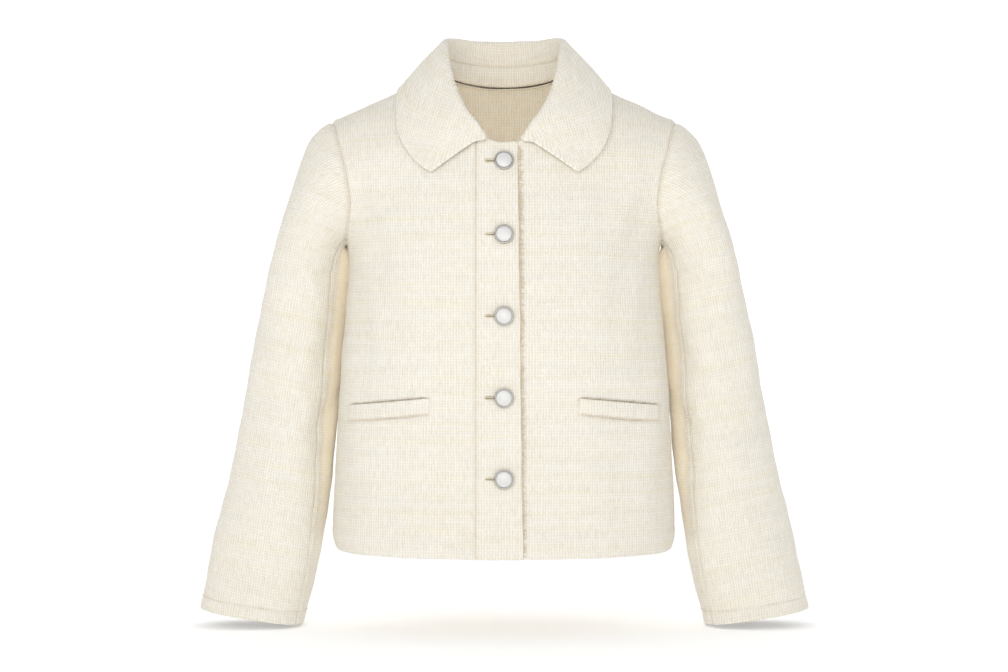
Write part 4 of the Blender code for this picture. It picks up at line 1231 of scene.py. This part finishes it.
class Nodes:
    """A material's node tree, built by calls."""

    def __init__(self, name):
        self.material = bpy.data.materials.new(name)
        self.material.use_nodes = True
        self.tree = self.material.node_tree
        self.shader = self.tree.nodes["Principled BSDF"]

    def add(self, kind, sets=None, **inputs):
        node = self.tree.nodes.new(kind)
        for key, value in (sets or {}).items():
            setattr(node, key, value)
        for key, value in inputs.items():
            self.feed(node.inputs[key.replace("_", " ")], value)
        return node

    def feed(self, socket, value):
        if isinstance(value, bpy.types.NodeSocket):
            self.tree.links.new(value, socket)
        else:
            socket.default_value = value

    def math(self, operation, *values):
        node = self.tree.nodes.new("ShaderNodeMath")
        node.operation = operation
        for socket, value in zip(node.inputs, values):
            self.feed(socket, value)
        return node.outputs[0]

    def vector(self, operation, first, second):
        node = self.tree.nodes.new("ShaderNodeVectorMath")
        node.operation = operation
        self.feed(node.inputs[0], first)
        self.feed(node.inputs["Scale"] if operation == "SCALE" else node.inputs[1], second)
        return node.outputs[0]

    def place(self):
        return self.add("ShaderNodeTexCoord").outputs["Object"]

    def noise(self, at, scale, detail=2.0, roughness=0.5):
        """A noise's value and colour."""
        node = self.add("ShaderNodeTexNoise", Vector=at, Scale=scale, Detail=detail, Roughness=roughness)
        return node.outputs["Fac"], node.outputs["Color"]

    def blend(self, share, first, second, kind="MIX"):
        node = self.tree.nodes.new("ShaderNodeMix")
        node.data_type, node.blend_type = "RGBA", kind
        self.feed(node.inputs[0], share)
        self.feed(node.inputs[6], first)
        self.feed(node.inputs[7], second)
        return node.outputs[2]

    def bump(self, height, distance, strength=1.0, normal=None):
        node = self.add("ShaderNodeBump", Strength=strength, Distance=distance, Height=height)
        if normal:
            self.tree.links.new(normal, node.inputs["Normal"])
        return node.outputs[0]

    def set(self, **values):
        for key, value in values.items():
            self.feed(self.shader.inputs[key.replace("_", " ")], value)


def tweed_material(name):
    """Cream tweed: slubby warp ribs over weft yarns, with faint straw-coloured stripes along the weft."""
    n = Nodes(name)
    uv = n.add("ShaderNodeUVMap", {"uv_map": "weave"}).outputs[0]
    drift = n.vector("SUBTRACT", n.noise(uv, 70.0, 2.0)[1], (0.5, 0.5, 0.5))
    shifted = n.vector("ADD", uv, n.vector("SCALE", drift, YARN_DRIFT))
    split = n.add("ShaderNodeSeparateXYZ", Vector=shifted)
    across = n.math("DIVIDE", split.outputs[0], WARP_PITCH)
    up = n.math("DIVIDE", split.outputs[1], WEFT_PITCH)
    warp_index, weft_index = n.math("FLOOR", across), n.math("FLOOR", up)
    warp_random = n.add("ShaderNodeTexWhiteNoise", {"noise_dimensions": "1D"}, W=warp_index).outputs["Value"]
    weft_random = n.add("ShaderNodeTexWhiteNoise", {"noise_dimensions": "1D"},
                        W=n.math("ADD", weft_index, 57.3)).outputs["Value"]

    def yarn(coordinate, crossing, index, random, share):
        ridge = n.math("ABSOLUTE", n.math("SINE", n.math("MULTIPLY", coordinate, math.pi)))
        over = n.math("COSINE", n.math("MULTIPLY", n.math("ADD", n.math("SUBTRACT", crossing, 0.5), index),
                                       math.pi))
        top = n.math("MULTIPLY_ADD", over, share, 1.0 - abs(share))
        size = n.math("MULTIPLY_ADD", random, 0.45, 0.72)
        return n.math("MULTIPLY", n.math("MULTIPLY", ridge, top), size)

    warp = yarn(across, up, warp_index, warp_random, 0.26)
    weft = n.math("MULTIPLY", yarn(up, across, weft_index, weft_random, -0.45), 0.80)
    weave = n.math("SMOOTH_MAX", warp, weft, 0.15)

    def streaks(across_scale, up_scale, detail=3.0):
        stretch = n.add("ShaderNodeMapping", Vector=uv, Scale=(across_scale, up_scale, 1.0)).outputs[0]
        return n.noise(stretch, 1.0, detail, 0.6)[0]

    rib, cross = streaks(520.0, 80.0), streaks(60.0, 420.0)
    nub = n.noise(uv, 900.0, 3.0, 0.7)[0]
    height = n.math("ADD", n.math("MULTIPLY", weave, n.math("MULTIPLY_ADD", rib, 1.2, 0.25)),
                    n.math("ADD", n.math("MULTIPLY", rib, 0.55),
                           n.math("MULTIPLY_ADD", nub, 0.40, n.math("MULTIPLY", cross, 0.35))))

    wave = n.math("SINE", n.math("MULTIPLY", up, 2 * math.pi * WEFT_PITCH / STRIPE_PITCH))
    stripe = n.math("MULTIPLY_ADD", wave, 0.5, 0.5)
    band = n.math("MULTIPLY_ADD", streaks(5.0, 130.0), 3.4, -1.35)
    stripe = n.math("MULTIPLY", n.math("MULTIPLY_ADD", stripe, 0.65, 0.35), n.math("MAXIMUM", band, 0.0))
    grey = n.math("MAXIMUM", n.math("MULTIPLY_ADD", streaks(9.0, 70.0), 3.0, -1.45), 0.0)
    mottle = n.noise(uv, 18.0, 3.0)[0]
    # The weave's low places take the pit colours: painted shade between the yarns
    pit = n.add("ShaderNodeMapRange", Value=height)
    for key, value in (("From Min", 0.45), ("From Max", 1.30), ("To Min", 0.0), ("To Max", 1.0)):
        pit.inputs[key].default_value = value
    colour = n.blend(pit.outputs[0], CLOTH_PIT_SHADE, CLOTH_TOP)
    colour = n.blend(n.math("MULTIPLY", stripe, 0.60), colour, n.blend(pit.outputs[0], STRAW_PIT_SHADE, STRAW_TOP))
    colour = n.blend(n.math("MULTIPLY", grey, 0.45), colour, CLOTH_COOL, "MULTIPLY")
    colour = n.blend(n.math("MULTIPLY_ADD", mottle, 0.40, -0.08), colour, CLOTH_WARM, "MULTIPLY")
    # Painted shade in seams, slits, stitch lines, button dents and along the welts, from the mesh's
    # attribute
    painted_shade = n.add("ShaderNodeAttribute", {"attribute_name": "painted_shade"}).outputs["Fac"]
    colour = n.blend(painted_shade, colour, CLOTH_SHADE, "MULTIPLY")
    # Painted light: a warm emission on the under sleeves, by the body
    glow = n.add("ShaderNodeAttribute", {"attribute_name": "glow"}).outputs["Fac"]
    n.set(Base_Color=colour, Roughness=n.math("MULTIPLY_ADD", nub, 0.2, 0.78), Sheen_Weight=0.15,
          Emission_Color=PAINTED_LIGHT_COLOUR, Emission_Strength=n.math("MULTIPLY", glow, PAINTED_LIGHT_STRENGTH),
          Sheen_Roughness=0.45, Sheen_Tint=(1.0, 0.97, 0.92, 1.0), Specular_IOR_Level=0.2,
          Normal=n.bump(nub, 0.00030, 0.6, n.bump(height, 0.00075, 0.75)))
    return n.material


def yarn_material(name, light, dark, scale):
    """A single yarn: twisted, a little fuzzy, its colour varying along it."""
    n = Nodes(name)
    at = n.place()
    slow, fine = n.noise(at, scale, 2.0)[0], n.noise(at, 6 * scale, 3.0)[0]
    n.set(Base_Color=n.blend(slow, light, dark), Roughness=0.85, Sheen_Weight=0.2, Sheen_Roughness=0.5,
          Specular_IOR_Level=0.2, Normal=n.bump(fine, 0.0002, 0.8))
    return n.material


def silver_material(name):
    n = Nodes(name)
    at = n.place()
    worn = n.noise(at, 350.0, 4.0)[0]
    n.set(Base_Color=n.blend(worn, *SILVER), Metallic=1.0,
          Roughness=n.math("MULTIPLY_ADD", worn, 0.25, 0.22),
          Normal=n.bump(n.noise(at, 2600.0)[0], 0.00005, 0.4))
    return n.material


def pearl_material(name):
    """A white pearly cap with slow clouds of blue-grey and cream."""
    n = Nodes(name)
    at = n.place()
    cloud, streak = n.noise(at, 190.0, 3.0)[0], n.noise(at, 700.0, 2.0)[0]
    colour = n.blend(n.math("MULTIPLY", streak, 0.35), n.blend(cloud, *PEARL), PEARL_STREAK)
    n.set(Base_Color=colour, Roughness=n.math("MULTIPLY_ADD", streak, 0.12, 0.16), Coat_Weight=0.35,
          Coat_Roughness=0.08, Specular_IOR_Level=0.6, Subsurface_Weight=0.12, Subsurface_Scale=0.002,
          Normal=n.bump(cloud, 0.00012, 0.4))
    return n.material


# ---- The jacket ----


def build_jacket():
    tweed = tweed_material("tweed")
    thread = yarn_material("sewing_thread", *THREAD, 420.0)
    fray = yarn_material("frayed_yarn", *FRAY, 200.0)
    silver, pearl = silver_material("polished_silver"), pearl_material("pearl")

    def cloth(node, mesh, cut, **sheet):
        made = new_object(node + "_cloth", mesh, tweed, (node,))
        return made

    for side, word in ((-1, "right"), (1, "left")):
        front, welt, top, under = (f"{part}_{word}" for part in (
            "front", "pocket_welt", "sleeve_top", "sleeve_under"))
        inner_x = -BAND_SEAM_X if side < 0 else -UNDERLAP_X
        cloth(front, front_shell(front, side, inner_x, side < 0), front)
        cloth(welt, welt_shell(welt, side), "pocket_welt", rests_on=[front])
        line = (stitch_row(*cuff_stitch_line(side, BACK_SEAM - 360, FRONT_SEAM))
                + stitch_row(*cuff_stitch_line(side, FRONT_SEAM, BACK_SEAM)))
        name = f"cuff_stitches_{word}"
        stitches = new_object(name, threads_mesh(name, line), thread)
        sleeve = sleeve_shell(top, side, BACK_SEAM - 360, FRONT_SEAM, SLEEVE_TOP_COLUMNS)
        cloth(top, sleeve, "sleeve_top", with_pieces=[stitches])
        sleeve = sleeve_shell(under, side, FRONT_SEAM, BACK_SEAM, SLEEVE_UNDER_COLUMNS)
        cloth(under, sleeve, "sleeve_under")
    cloth("back", back_shell("back"), "back")
    leaf, stand = collar_shells()
    cloth("collar_leaf", leaf, "collar_leaf")
    cloth("collar_stand", stand, "collar_stand")
    cut_buttonholes(cloth("front_band", band_shell(), "front_band", rests_on=["front_left"]))
    purl = threads_mesh("buttonhole_stitches", [each for z in BUTTON_HEIGHTS for each in purl_threads(z)])
    new_object("buttonhole_stitches", purl, thread)
    fringe = threads_mesh("front_fringe_yarns", fringe_threads(np.random.RandomState(7)))
    new_object("front_fringe_yarns", fringe, fray, ("front_fringe",))
    cup, cap = button_profiles()
    for number, z in enumerate(BUTTON_HEIGHTS, 1):
        for word, part, profile, finish in (("cup", "rim", cup, silver), ("pearl", "cap", cap, pearl)):
            name, node = f"button_{number}_{word}", f"button_{part}_{number}"
            new_object(name, turned_mesh(name, profile, button_frame(z)), finish, (node,))


# ---- Studio ----


def aim_camera(scene):
    camera = placed("camera", bpy.data.cameras.new("camera"))
    camera.location, camera.rotation_euler = CAMERA_AT, (math.pi / 2, 0, 0)
    camera.data.lens, camera.data.sensor_width = CAMERA_LENS, CAMERA_SENSOR
    scene.camera = camera


def light_studio(scene):
    world = bpy.data.worlds.new("studio")
    scene.world = world
    world.use_nodes = True
    background = world.node_tree.nodes["Background"]
    background.inputs["Color"].default_value = WHITE
    background.inputs["Strength"].default_value = WORLD_STRENGTH
    scene.view_settings.view_transform = "Standard"
    for name, place, turn, size, power, colour in LIGHTS:
        light = bpy.data.lights.new(name, "AREA")
        light.shape, light.size, light.size_y = "RECTANGLE", *size
        light.energy, light.color = power, colour
        lamp = placed(name, light)
        lamp.location, lamp.rotation_euler = place, [math.radians(a) for a in turn]
    light = bpy.data.lights.new("inside", "POINT")
    light.energy, light.color, light.shadow_soft_size = INSIDE_WATTS, INSIDE_COLOUR, INSIDE_RADIUS
    lamp = placed("inside", light)
    lamp.location, lamp.visible_camera = INSIDE_AT, False


def build_backdrop():
    floor, wall = Nodes("studio_floor"), Nodes("studio_wall")
    grain = floor.noise(floor.place(), 3.0)[0]
    for nodes, colour, glow in ((floor, floor.blend(grain, *FLOOR_GREYS), FLOOR_GLOW),
                                (wall, WALL_GREY, WALL_GLOW)):
        nodes.set(Base_Color=colour, Roughness=0.9, Specular_IOR_Level=0.0, Emission_Color=WHITE,
                  Emission_Strength=glow)
    near, far, low, high = -STUDIO_REACH, WALL_Y, FLOOR_Z, STUDIO_HEIGHT
    for nodes, ends in ((floor, ((near, low), (far, low))), (wall, ((far, low), (far, high)))):
        (y, z), (next_y, next_z) = ends
        corners = np.array([(-STUDIO_REACH, y, z), (STUDIO_REACH, y, z),
                            (STUDIO_REACH, next_y, next_z), (-STUDIO_REACH, next_y, next_z)])
        mesh = mesh_of(nodes.material.name, corners, [(0, 1, 2, 3)])
        mesh.materials.append(nodes.material)
        placed(nodes.material.name, mesh)


build_jacket()
aim_camera(bpy.context.scene)
light_studio(bpy.context.scene)
build_backdrop()
